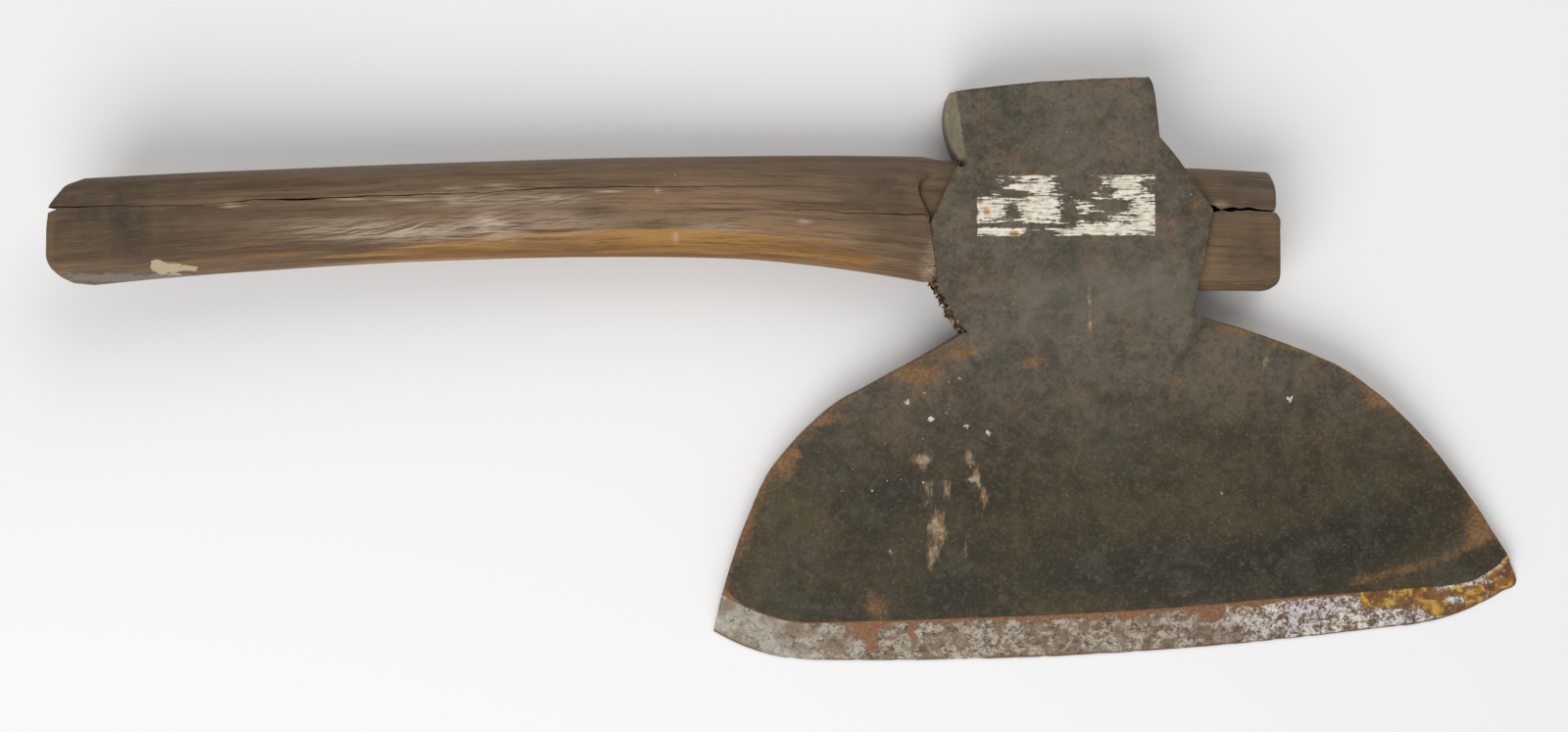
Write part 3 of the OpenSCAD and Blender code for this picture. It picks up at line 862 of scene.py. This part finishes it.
def groundBevel(n, base):
    # The bevel's bare metal: bright and dark grains, rust in patches and along both its borders
    down, edge, toe = n.mask("down"), n.mask("edge"), n.mask("toe")
    x, _, _ = n.axes(n.mapped(turn=-head["hang"]))
    toToe, toHeel = n.span(x, 0.03, 0.085), n.span(x, -0.085, -0.125)
    grit, fleck = n.noise(1000, 4, 0.7), n.noise(330, 6, 0.75, 0.6)
    patch, cloud = n.noise(115, 6, 0.68, 0.8), n.noise(40, 4, 0.6)
    grain = n.add(n.times(grit, 0.4), n.times(fleck, 0.6))
    silver = n.mix(n.span(grain, 0.43, 0.56), (0.145, 0.104, 0.066), (0.45, 0.40, 0.325))
    silver = n.mix(n.times(n.span(patch, 0.455, 0.55), 0.8), silver, (0.172, 0.105, 0.058))
    silver = n.mix(n.times(n.span(fleck, 0.45, 0.37), 0.85), silver, (0.085, 0.052, 0.030))
    film = n.mix(n.span(patch, 0.40, 0.62), (0.38, 0.355, 0.30), (0.25, 0.195, 0.135))
    silver = n.mix(n.times(toHeel, n.span(fleck, 0.36, 0.44), 0.75), silver, film)
    bright = n.mix(n.span(cloud, 0.45, 0.58), (0.86, 0.80, 0.70), (0.66, 0.60, 0.67))
    silver = n.mix(n.times(toToe, n.span(grain, 0.48, 0.55), 0.9), silver, bright)
    silver = n.mix(n.times(toToe, n.span(fleck, 0.45, 0.40), 0.85), silver, (0.13, 0.060, 0.036))
    rustColour = n.mix(n.span(grit, 0.35, 0.65), (0.165, 0.078, 0.036), (0.30, 0.145, 0.072))
    spread = n.add(n.mask("rustPatch"), n.sway(patch, 1.5), n.sway(fleck, 0.6))
    silver = n.mix(n.span(spread, 0.42, 0.60), silver, rustColour)
    glaze = n.noise(150, 3, 0.5, 1.2)
    amber = n.mix(n.span(glaze, 0.42, 0.60), (0.29, 0.110, 0.026), (0.56, 0.35, 0.045))
    amber = n.mix(n.times(n.span(patch, 0.53, 0.45), 0.85), amber, (0.125, 0.055, 0.026))
    amber = n.mix(n.times(n.span(grain, 0.54, 0.60), 0.7), amber, (0.66, 0.52, 0.30))
    border = n.sway(n.add(n.times(fleck, 0.5), n.times(patch, 0.5)), 2.6)
    silver = n.mix(n.span(n.add(toe, border), 0.45, 0.56), silver, amber)
    silver = n.mix(n.times(n.span(n.add(edge, border), 0.5, 0.62), 0.9), silver, (0.16, 0.08, 0.045))
    silver = n.mix(n.times(n.mask("gleam"), n.span(grit, 0.42, 0.55)), silver, (0.70, 0.64, 0.58))
    return n.mix(n.span(n.add(down, n.times(border, 0.5)), -0.3, 0.3), base, silver), grit, fleck


def ironFinish():
    # Clouded brown-black patina; rust, painted light around the eye and on the poll's facet, smears, dust,
    # the paint and the bevel come over it by masks
    n = Nodes("darkForgedIron")
    broad, cloud = n.noise(24, 3, 0.5, 0.3), n.noise(75, 4, 0.55, 0.4)
    grit, hue = n.noise(800, 5, 0.72), n.noise(52, 4, 0.6, 0.5, n.mapped(move=(3, 1, 0)))
    tone = n.add(n.times(cloud, 0.55), n.times(broad, 0.45))
    low = n.mix(n.span(tone, 0.38, 0.64), (0.039, 0.031, 0.017), (0.076, 0.057, 0.027))
    low = n.mix(n.times(n.mask("dark"), n.span(cloud, 0.2, 0.6, 0.6, 1.0)), low, (0.025, 0.023, 0.015))
    high = n.mix(n.span(tone, 0.38, 0.62), (0.078, 0.064, 0.044), (0.145, 0.116, 0.082))
    high = n.mix(n.times(n.span(hue, 0.52, 0.66), 0.6), high, (0.150, 0.098, 0.060))
    base = n.mix(n.mask("upper"), low, high)
    base = n.mix(n.times(n.span(hue, 0.47, 0.36), 0.45), base, (0.066, 0.064, 0.044))
    base = n.mix(n.times(n.span(grit, 0.53, 0.70), 0.42), base, (0.215, 0.180, 0.130))
    base = n.mix(n.times(n.span(grit, 0.47, 0.33), 0.50), base, (0.022, 0.018, 0.013))
    mottle = n.noise(260, 5, 0.72, 0.4)
    light = n.mix(n.mask("upper"), (0.115, 0.092, 0.060), (0.190, 0.160, 0.112))
    base = n.mix(n.times(n.span(mottle, 0.50, 0.66), 0.38), base, light)
    base = n.mix(n.times(n.span(mottle, 0.49, 0.36), 0.36), base, (0.028, 0.024, 0.018))
    # painted light: the slopes around the eye, most of all the hollow below it that faces the key lamp,
    # drawn paler
    base = n.mix(n.times(n.mask("paintedLightPatches"), n.span(cloud, 0.3, 0.6, 0.5, 1.0)), base, (0.185, 0.168, 0.138))
    # painted light: the poll's steep left facet drawn paler, as where it catches the light
    facet = n.times(n.mask("facet"), n.span(mottle, 0.40, 0.58, 0.55, 0.85))
    base = n.mix(facet, base, (0.33, 0.280, 0.185))
    ragged = n.add(n.sway(cloud, 0.9), n.sway(grit, 0.7))
    rust = n.span(n.add(n.mask("rust"), n.times(ragged, n.span(n.mask("rust"), 0.02, 0.25))), 0.15, 0.95)
    rustColour = n.mix(n.span(grit, 0.38, 0.62), (0.175, 0.088, 0.036), (0.28, 0.150, 0.062))
    base = n.mix(n.times(rust, 0.85), base, rustColour)
    x, y, _ = n.axes()
    drag = n.noise(1, 5, 0.72, 0.5, n.joined(n.times(x, 640), n.times(y, 190), 0.0))
    tan = n.span(n.add(n.mask("smear"), n.sway(drag, 2.4)), 0.30, 0.95)
    tan = n.times(tan, n.span(n.mask("smear"), 0.05, 0.35), 0.8)
    base = n.mix(tan, base, n.mix(n.span(mottle, 0.42, 0.58), (0.27, 0.155, 0.075), (0.43, 0.35, 0.23)))
    dust = n.times(n.span(n.cells(300), 0.11, 0.06), n.span(n.noise(170, 3), 0.63, 0.69), 0.8)
    base = n.mix(dust, base, (0.42, 0.38, 0.31))
    base, _, fleck = groundBevel(n, wornPaint(n, base))
    ground = n.span(n.mask("down"), -0.25, 0.25)
    height = n.add(n.times(grit, 0.7), n.times(cloud, 0.5), n.times(ground, fleck, 0.6))
    rough = n.math("SUBTRACT", n.span(grit, 0.2, 0.8, 0.48, 0.66), n.times(ground, 0.08))
    return n.finish(base, rough, n.bump(height, 0.35 * mm, 0.6), specular=0.22)


def wornPaint(n, base):
    # White paint brushed on in a rectangle and scuffed away along its length; the mask is its cover
    place = n.mapped(turn=-paint["turn"])
    x, y, z = n.axes(place)
    streak = n.noise(1, 5, 0.7, 0.5, n.joined(n.times(x, 120), n.times(y, 1250), 0.0))
    gaps = n.noise(1, 3, 0.6, 0.3, n.joined(n.times(x, 45), n.times(y, 1900), 3.0))
    chips = n.noise(560, 5, 0.75, 0.3, n.mapped((0.6, 1, 1), turn=-paint["turn"]))
    left, foot = turned(np.array(paint["corner"]), -paint["turn"]) * mm
    wobble = n.sway(chips, 2.2 * mm)
    nudged = n.joined(n.add(x, wobble), n.add(y, n.times(wobble, 0.7)), z)
    area = n.box(nudged, left, left + paint["long"] * mm, foot, foot + paint["high"] * mm, 0.25 * mm)
    cover = n.add(n.mask("paint"), n.sway(streak, 2.9), n.sway(chips, 1.7))
    cover = n.add(cover, n.times(n.span(gaps, 0.44, 0.34), -0.55))
    onFront = n.span(n.axes()[2], 30 * mm, 34 * mm)
    amount = n.times(area, n.span(cover, 0.40, 0.54), onFront)
    thin = n.span(n.add(n.times(streak, 0.5), n.times(chips, 0.5)), 0.40, 0.58)
    ivory = n.mix(thin, (0.52, 0.44, 0.32), (0.88, 0.83, 0.71))
    rusty = n.add(n.mask("paintRust"), n.sway(chips, 2.4))
    ivory = n.mix(n.span(rusty, 0.35, 0.8), ivory, (0.50, 0.235, 0.06))
    return n.mix(amount, base, ivory)


def steelFinish():  # the bevel's bare metal on its own, a little shinier than on the iron
    n = Nodes("pittedEdgeSteel")
    base, grit, fleck = groundBevel(n, (0.12, 0.10, 0.075))
    normal = n.bump(n.add(n.times(fleck, 0.8), n.times(grit, 0.5)), 0.5 * mm, 0.7)
    rough = n.math("SUBTRACT", n.span(grit, 0.3, 0.7, 0.62, 0.40), n.times(n.mask("toe"), 0.15))
    return n.finish(base, rough, normal, metallic=n.times(n.span(grit, 0.4, 0.6), 0.35), specular=0.45)


bareWood = bareFinish("bareWood", (0.075, 0.042, 0.022), (0.21, 0.13, 0.072))
# painted shade: the dark wood on the walls of the cracks, the split and the kerf; some crumbs by the ear
# are drawn in it too
shadedCrackWood = bareFinish("crackWoodShade", (0.022, 0.013, 0.008), (0.085, 0.05, 0.028))
wedgeWood = bareFinish("wedgeWood", (0.13, 0.085, 0.05), (0.30, 0.21, 0.13))

# soft areas as (x, y, half width, half height, strength), in mm: on the head in the head's own frame,
# in the paint from its lower left corner, on the haft in the axe's frame; the tide is a line (x, y)
patina = {
    "rust": [
        (-59.5, -51.5, 9, 3.6, 0.9), (-44.5, -44.5, 5, 2, 1.0), (-112, -82, 4, 7, 0.7),
        (-108, -78, 2, 2, 0.8), (-95, -66, 10, 2.5, 0.5), (-129, -103, 4, 12, 0.45),
        (109.5, -72.5, 7, 3.5, 0.75), (146, -121, 5, 9, 0.6), (-83, -138, 4.5, 6.5, 0.75),
        (-105, -125, 4, 5, 0.4), (-101, -106, 6, 6, 0.25), (-34, -135, 2.5, 9, 0.4),
        (34, -140, 3, 2.5, 0.6), (-17, -49.5, 6, 2.6, 0.75), (36, -60.5, 4.5, 3, 0.4),
        (-4, -73.5, 1.5, 1.2, 0.6), (20, -98, 7, 5, 0.22), (-30, -80, 3, 8, 0.3),
        (48, -17, 4, 6, 0.75), (43.5, 4, 3.5, 3, 0.65), (40, 11, 6, 1.3, 0.55),
        (-50, -17, 3, 2.5, 0.5), (-44, 2.6, 6, 0.7, 0.35), (-18, 18.8, 13, 1.8, 0.55),
        (33, -2, 3, 1.2, 0.6), (-33, 44, 5, 6, 0.35), (26, 44, 4, 7, 0.4), (60, -42, 14, 2, 0.45),
        (80, -50, 10, 2, 0.4), (20, 51, 12, 1.5, 0.35)],
    "dark": [
        (15, -130, 50, 12, 1.0), (102, -122, 28, 12, 1.1), (75, -131, 28, 9, 0.9),
        (-55, -135, 20, 8, 0.7), (-62, -100, 14, 10, 0.5), (12, -72, 14, 8, 0.5),
        (-85, -92, 14, 8, 0.4), (-110, -130, 9, 5, 0.4)],
    # painted light: paler patches on the slopes around the eye
    "paintedLightPatches": [
        (2, -23, 34, 8, 0.55), (26, -30, 12, 8, 0.35), (-14, -34, 16, 8, 0.35),
        (-2, 30, 14, 8, 0.15)],
    "smear": [
        (-57, -109, 3.2, 6.5, 1.1), (-60, -119, 2.2, 7, 0.8), (-61.5, -83.3, 3.4, 2.8, 1.1),
        (-44, -83.5, 2.0, 2.6, 1.1), (-41.5, -91, 1.6, 5, 0.9), (-39, -99, 1.5, 4.5, 1.0),
        (-52.8, -95, 1.5, 5, 0.9), (-44.5, -92, 3, 1.1, 0.8), (-60, -95, 2.2, 6, 0.65),
        (-47, -117, 1.3, 5, 0.7), (68.6, -55.5, 1.8, 2.6, 0.8), (-28, -29, 9, 5, 0.3),
        (2.8, -26, 1.0, 4, 0.9), (3.2, -37, 0.9, 5, 0.9), (-33, -74, 12, 2, 0.3),
        (-62, -59, 8, 3, 0.3)],
    "bevelRust": [
        (-87, -147, 6, 4, 0.9), (-84, -154, 5, 3.6, 0.7), (-69, -147, 1.8, 5, 0.7),
        (0, -158, 14, 2, 0.4), (12, -147, 4, 3, 0.4), (45, -150, 4, 3, 0.5)],
    "island": [
        (136, -149.8, 6, 1.7, 0.8), (143, -143.5, 10, 1.3, 1.0), (152, -152, 5, 1.6, 0.8),
        (128, -156.5, 6, 1.5, 0.9)],
    "tide": [(151, -122), (147, -127), (138, -132), (120, -136.3), (98, -140)],
}
paint = {
    "corner": (-36.6, -5.6), "turn": math.radians(2.05), "long": 64.9, "high": 22.0,
    "solid": [
        (4.5, 10.3, 6, 4, 0.5), (22, 10.5, 7, 4, 0.35), (53.5, 17.5, 6, 3.5, 0.4),
        (6, 1.6, 7, 1.3, 0.5), (43, 1.8, 10, 1.6, 0.45), (61, 6, 4, 5, 0.35),
        (17, 17.6, 9, 0.7, 0.75), (24.5, 18.5, 4, 3, 0.3)],
    "bare": [
        (1, 19.5, 8, 4.6, 1.1), (13, 15.2, 6, 1.5, 0.9), (36.5, 19, 8, 5.5, 1.2),
        (12.7, 9, 2.8, 2.6, 0.9), (33.5, 8, 3, 3.6, 0.9), (50, 10.7, 5.5, 2.4, 1.0),
        (43, 6.3, 6, 1.3, 0.7), (14, 3.7, 17, 0.9, 1.1), (23, 0.5, 7, 1.1, 0.9),
        (62.5, 18.5, 3.5, 4, 0.35), (48, 16.4, 2.4, 0.8, 0.9)],
    "rust": [
        (3.2, 9.0, 1.5, 1.6, 1), (1.2, 13.2, 1.2, 2, 0.9), (16.4, 15.0, 1.8, 1.2, 1),
        (18, 13, 1, 1, 0.9), (13.6, 0.9, 2, 1.1, 1), (43.4, 10, 2.2, 1.4, 0.9),
        (63.6, 4.3, 0.9, 1, 0.8), (53.4, 21.8, 1, 0.7, 0.8)],
}
wearMarks = {
    # pale streaks along the middle band, partly a painted highlight
    "pale": [
        (-240, -10, 40, 3.4, 0.9), (-215, -6.5, 8, 4, 0.9), (-188, -5, 20, 3.5, 0.45),
        (-262, -13, 22, 2, 0.5), (-225, 1.5, 20, 2.4, 0.55), (-193, 3, 14, 2, 0.6),
        (-132, -5.5, 12, 2.2, 0.5)],
    "fray": [
        (-212, 6.8, 6, 0.7, 1), (-172, 6.4, 5, 0.5, 0.9), (-308, -3.6, 4, 1, 0.7),
        (-228, 0.5, 2, 0.8, 0.9), (-51, -11, 3, 4.5, 0.9), (-53, -19, 3, 3, 0.7),
        (-100, -2.2, 2.4, 0.8, 0.8), (-154, 7.4, 1, 0.8, 1), (53, 9.2, 2.5, 0.8, 0.7),
        (-266, 0.2, 7, 0.5, 0.8), (-246, 0.6, 9, 0.35, 0.9), (-226, 5.4, 5, 0.6, 0.9),
        (-198, 8.2, 6, 0.5, 0.7), (-147, -9.5, 0.9, 1.6, 0.9)],
    "smear": [(-352, -31.4, 17, 1.7, 1.2), (-330, -30, 8, 1.5, 0.9)],
    "cream": [
        (-334.5, -25.6, 2.6, 2.3, 1.0), (-330, -27.2, 4.0, 1.8, 1.1), (-323.5, -26.6, 4.5, 0.9, 0.9)],
    "grime": [
        (-70, 12, 16, 12, 1.0), (-66, -4, 12, 10, 0.45), (-360, 0, 22, 10, 0.8),
        (-352, -12, 24, 12, 0.6), (-330, 4, 22, 5, 0.5), (-178, -1, 9, 3, 0.6),
        (62, 15, 20, 8, 1.1), (66, -9, 16, 12, 0.8), (-352, -8, 36, 24, 0.5)],
    "tawny": [
        (51, -11, 7, 6, 0.7), (-84, -16, 26, 9, 1.6), (-140, 6, 50, 10, 0.9),
        (-110, -6, 30, 8, 0.6), (-250, 10, 40, 6, 0.5), (-230, -2, 60, 6, 0.4)],
    "curl": [(-150, 0, 40, 8, 1.0), (-100, -10, 25, 7, 0.7), (-230, -6, 40, 6, 0.8)],
}


def soft(p, areas):  # sum of bell-shaped spots, weight times e to the minus squared distance
    total = np.zeros(len(p))
    for x, y, rx, ry, weight in areas:
        total += weight * np.exp(-((p[:, 0] - x) / rx) ** 2 - ((p[:, 1] - y) / ry) ** 2)
    return total


def bevelMasks(piece, spots):
    # Distances below the grind line and from the edge, made into masks for the bevel's metal
    edge, grind = edgeAndGrind(90)
    under = np.interp(spots[:, 0], grind[:, 0], grind[:, 1]) - spots[:, 1]
    fromEdge = distanceTo(spots[:, :2], edge)
    x = spots[:, 0]
    wave = noise(spots, 9, 91, 2)
    band = 0.4 + 1.5 * smoothStep(x, -100, -80) + 1.3 * smoothStep(x, -50, -10)
    band = band - 1.7 * smoothStep(x, 55, 80)
    rust = np.exp(-np.maximum(0, under) / np.maximum(0.3, band + 0.8 * wave)) * 0.9
    rust = rust + soft(spots, patina["bevelRust"])
    toe = smoothStep(x + 3 * wave, 99, 104)
    low = 7.5 + 3 * wave + 14 * smoothStep(x, 122, 136)
    toe = toe * smoothStep(low - under, -1.2, 1.2)
    island = soft(spots, patina["island"])
    heelRise = 3.4 * smoothStep(-x, 131, 141)
    setMask(piece, "down", np.where(spots[:, 2] > 0.3, under + heelRise, -1))
    setMask(piece, "edge", np.exp(-fromEdge / 0.7) * (1.1 + 0.5 * wave))
    setMask(piece, "toe", toe - island * (x > 118))
    setMask(piece, "rustPatch", rust)
    setMask(piece, "gleam", np.exp(-((under - 0.5) / 0.6) ** 2) * smoothStep(x, 127, 131) * (x < 158))


debris = {
    # flecks by x, y and half width in the axe's frame; the wall that holds the crumbs in the head's frame
    "flecks": [
        (-28.9, -77.8, 1.3), (-50, -73.3, 1.5), (-59.4, -67.4, 1.2), (-37, -75.9, 1.0),
        (83.6, -62.1, 1.3), (59.7, -97.9, 0.6), (-63.9, -123.8, 0.8), (-52.2, -97.3, 0.8),
        (-53.1, -80.8, 0.5), (-67.4, -83.5, 0.5), (-65.8, -97, 0.45), (-78.8, -93.4, 0.4),
        (-100.9, -105.5, 0.4), (-83, -101.6, 0.45), (-71.2, -100.9, 0.6), (-52.9, -64.2, 0.6),
        (-44.9, -71, 0.55), (-44, -68, 0.4), (41.2, 12, 0.5), (-4.8, 33.4, 0.4), (36.7, -21.3, 0.4),
        (-40, -58, 0.6), (-44, -59.5, 0.5), (-35, -91, 0.5)],
    "fleckThick": 0.22,
    "ear": ((-52.6, -17.0), (-43.2, -36.0)), "crumbs": 150, "crumbLow": 7.0,
}


def lumps(name, centres, sizes, seed, materials):
    # Closed eight-faced lumps: six tips on three turned axes, each at its own distance
    chance = np.random.default_rng(seed)
    turn = chance.uniform(0, math.pi, len(centres))
    c, s, o = np.cos(turn), np.sin(turn), 0 * turn
    axes = np.stack([np.stack([c, s, o], -1), np.stack([-s, c, o], -1), np.stack([o, o, o + 1], -1)], 1)
    tips = np.concatenate([axes, -axes], 1) * np.tile(sizes, (1, 2))[..., None]
    tips = tips * chance.uniform(0.6, 1.25, tips.shape[:2])[..., None] + centres[:, None]
    eight = np.array([(0, 1, 2), (1, 3, 2), (3, 4, 2), (4, 0, 2),
                      (1, 0, 5), (3, 1, 5), (4, 3, 5), (0, 4, 5)])
    faces = (eight[None] + 6 * np.arange(len(centres))[:, None, None]).reshape(-1, 3)
    piece = makePiece(name, [(tips.reshape(-1, 3), faces, [])], materials)
    piece.data.polygons.foreach_set("material_index", np.repeat(
        chance.integers(0, len(materials), len(centres)), 8).astype(np.int32))
    return piece


def makeFlecks(materials):  # each fleck is a flat cluster of overlapping lumps on the head's front
    marks = np.array(debris["flecks"])
    marks = np.repeat(marks, np.ceil(marks[:, 2] * 6).astype(int), axis=0)
    chance = np.random.default_rng(11)
    plan = marks[:, :2] + chance.normal(0, 0.42, (len(marks), 2)) * marks[:, 2:]
    z = frontHeight(toHead(np.column_stack([plan, 0 * plan[:, :1]])))
    across = marks[:, 2:] * chance.uniform(0.25, 0.6, (len(marks), 2))
    sizes = np.column_stack([across, np.full(len(marks), debris["fleckThick"])])
    return lumps("paintFlecks", np.column_stack([plan, z + 0.05]), sizes, 12, materials)


def makeSplinters(materials):  # crumbs of torn wood caught along the left ear's lower wall
    chance = np.random.default_rng(21)
    start, stop = np.array(debris["ear"])
    count = debris["crumbs"]
    t = chance.uniform(0, 1, count) ** 1.3
    outward = np.array([stop[1] - start[1], start[0] - stop[0]])
    outward = outward / np.linalg.norm(outward)
    plan = start + (stop - start) * t[:, None] + outward * chance.uniform(0.2, 2.2, (count, 1))
    inside = plan - outward * 3.5
    high = frontHeight(np.column_stack([inside, 0 * t])) - 1.5
    z = debris["crumbLow"] + (high - debris["crumbLow"]) * chance.uniform(0, 1, count)
    sizes = chance.uniform((0.4, 0.3, 0.3), (1.7, 0.8, 0.9), (count, 3))
    centres = toAxe(np.column_stack([plan, z]))
    return lumps("splinters", centres, sizes, 22, materials)


def headMasks(piece):
    # Soft areas and distances from the shoulders, for rust, dark patina, painted light around the eye and
    # on the poll's facet, smears and the paint
    spots = toHead(pointsOf(piece))
    x, y, z = spots.T
    shoulders = [distanceTo(spots[:, :2], resample(side, 40)) for side in (leftLower, rightLower)]
    rim = 0.62 * np.exp(-shoulders[0] / 3.2) + 0.6 * np.exp(-shoulders[1] / 2.2)
    tide = distanceTo(spots[:, :2], np.array(patina["tide"], float))
    rust = soft(spots, patina["rust"]) + rim * smoothStep(-y, 36, 42) + 0.55 * np.exp(-(tide / 2.2) ** 2)
    setMask(piece, "rust", rust * (0.6 + 0.4 * smoothStep(z, 0, 3)))
    setMask(piece, "dark", soft(spots, patina["dark"]))
    # painted light around the eye, as soft areas
    setMask(piece, "paintedLightPatches", soft(spots, patina["paintedLightPatches"]))
    setMask(piece, "smear", soft(spots, patina["smear"]) * (z > 3))
    setMask(piece, "upper", smoothStep(y, -100, -36))
    # painted light on the poll's left facet
    facet = smoothStep(facetHeight(x) - z, 0.9, 0.2)
    setMask(piece, "facet", facet * (x < -36) * (y > 26.8) * (z > 16))
    flat = turned(pointsOf(piece)[:, :2] - np.array(paint["corner"]), -paint["turn"])
    setMask(piece, "paint", 0.57 + soft(flat, paint["solid"]) - soft(flat, paint["bare"]))
    setMask(piece, "paintRust", soft(flat, paint["rust"]))
    bevelMasks(piece, spots)


def haftMasks(piece):
    # Distances along and across the haft for the grain, soft areas of wear (the pale middle band partly a
    # painted highlight), painted light on the lower side, a painted sheen on the upper side, and the two
    # cut ends
    spots = pointsOf(piece)
    x, y, z = spots.T
    midY, midZ, halfY, _ = haftMiddle(x)
    level = (y - midY) / halfY
    front = smoothStep(z - midZ, 0, 6)
    setMask(piece, "along", x)
    setMask(piece, "across", y - midY)
    setMask(piece, "side", z - midZ)
    for name in ("pale", "fray", "smear", "cream"):
        setMask(piece, name, soft(spots, wearMarks[name]) * front)
    for name in ("grime", "curl", "tawny"):
        setMask(piece, name, soft(spots, wearMarks[name]))
    # the upper side, for the greyed wood and its painted sheen
    setMask(piece, "upper", smoothStep(level, 0.35, 0.85) + 0.35 * smoothStep(level, 0.0, 0.3))
    # painted light along the lower side, and faintly near the butt
    golden = 0.45 * smoothStep(-x, 62, 80) + 0.55 * smoothStep(-x, 90, 140)
    golden = golden * smoothStep(-level, 0.28, 0.72) * smoothStep(x, -290, -190)
    faint = 0.35 * smoothStep(-level, 0.3, 0.6) * smoothStep(x, -345, -300)
    setMask(piece, "litUnderside", golden + faint * (x < -60))
    butt = smoothStep(buttEnd(y) + 4.0 - x, 0, 1.5) * smoothStep(-y, 7, 11)
    setMask(piece, "cut", butt + smoothStep(x - tongueEnd(y) + 1.5, 0, 1))


iron = ironFinish()
steelMaterial = steelFinish()
wood = woodFinish()
print("materials made")

headPiece = makeHead([iron])
headMasks(headPiece)
smoothShade(headPiece, 35)
settle(headPiece, "forged_iron", "head_body")

steelPiece = makeSteel([steelMaterial])
bevelMasks(steelPiece, toHead(pointsOf(steelPiece)))
smoothShade(steelPiece, 35)
settle(steelPiece, "edge_steel", "steel_bit")

haftPiece = makeHaft([wood, shadedCrackWood])
haftMasks(haftPiece)
smoothShade(haftPiece, 40)
settle(haftPiece, "haft_wood", "haft")

fleckPaint = bareFinish("fleckPaint", (0.58, 0.50, 0.38), (0.84, 0.80, 0.72))
yellowWood = bareFinish("splinterWood", (0.20, 0.12, 0.045), (0.42, 0.29, 0.13))
fleckPiece = makeFlecks([fleckPaint])
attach(fleckPiece, "root")
splinterPiece = makeSplinters([shadedCrackWood, bareWood, yellowWood])
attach(splinterPiece, "root")
print("flecks and splinters made")

wedgePiece = makeWedge([wedgeWood])
smoothShade(wedgePiece, 40)
settle(wedgePiece, "wedge_wood", "wooden_wedge")

# the iron wedge stays the CAD node, sunk in the wood
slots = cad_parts["iron_wedge"].data.materials
slots.clear()
slots.append(iron)
print("iron wedge has its material")

studio = {
    "floor": 12.0, "paper": (0.93, 0.93, 0.93), "sky": 0.38, "aim": (-0.1, -0.05, 0),
    # each lamp's place, size and power
    "key": ((-0.5, -0.95, 1.1), 1.4, 14.0), "fill": ((0.3, 1.0, 1.2), 1.5, 8.5),
    # the camera's place, its turn, and the width that it sees on the floor
    "camera": (-0.1058, -0.0554, 1.1), "roll": math.radians(1.8), "across": 0.5936, "film": 36.0,
}

half = studio["floor"] / 2
floorMesh = bpy.data.meshes.new("floor")
floorCorners = [(-half, -half, 0), (half, -half, 0), (half, half, 0), (-half, half, 0)]
floorMesh.from_pydata(floorCorners, [], [(0, 1, 2, 3)])
floor = bpy.data.objects.new("floor", floorMesh)
bpy.context.scene.collection.objects.link(floor)
floorMesh.materials.append(Nodes("paper").finish((*studio["paper"], 1), 0.9, specular=0.1))

world = bpy.data.worlds.new("studio")
bpy.context.scene.world = world
world.use_nodes = True
world.node_tree.nodes["Background"].inputs[0].default_value = (1, 1, 1, 1)
world.node_tree.nodes["Background"].inputs[1].default_value = studio["sky"]

for name in ("key", "fill"):
    place, size, power = studio[name]
    lamp = bpy.data.lights.new(name, "AREA")
    lamp.shape, lamp.size, lamp.energy = "DISK", size, power
    light = bpy.data.objects.new(name, lamp)
    aim = Vector(studio["aim"]) - Vector(place)
    light.location = place
    light.rotation_euler = aim.to_track_quat("-Z", "Y").to_euler()
    bpy.context.scene.collection.objects.link(light)

lens = bpy.data.cameras.new("camera")
lens.sensor_width = studio["film"]
lens.lens = studio["film"] * studio["camera"][2] / studio["across"]
camera = bpy.data.objects.new("camera", lens)
camera.location = studio["camera"]
camera.rotation_euler = (0, 0, studio["roll"])
bpy.context.scene.collection.objects.link(camera)
bpy.context.scene.camera = camera
bpy.context.scene.view_settings.view_transform = "Standard"
print("floor, lamps and camera placed")
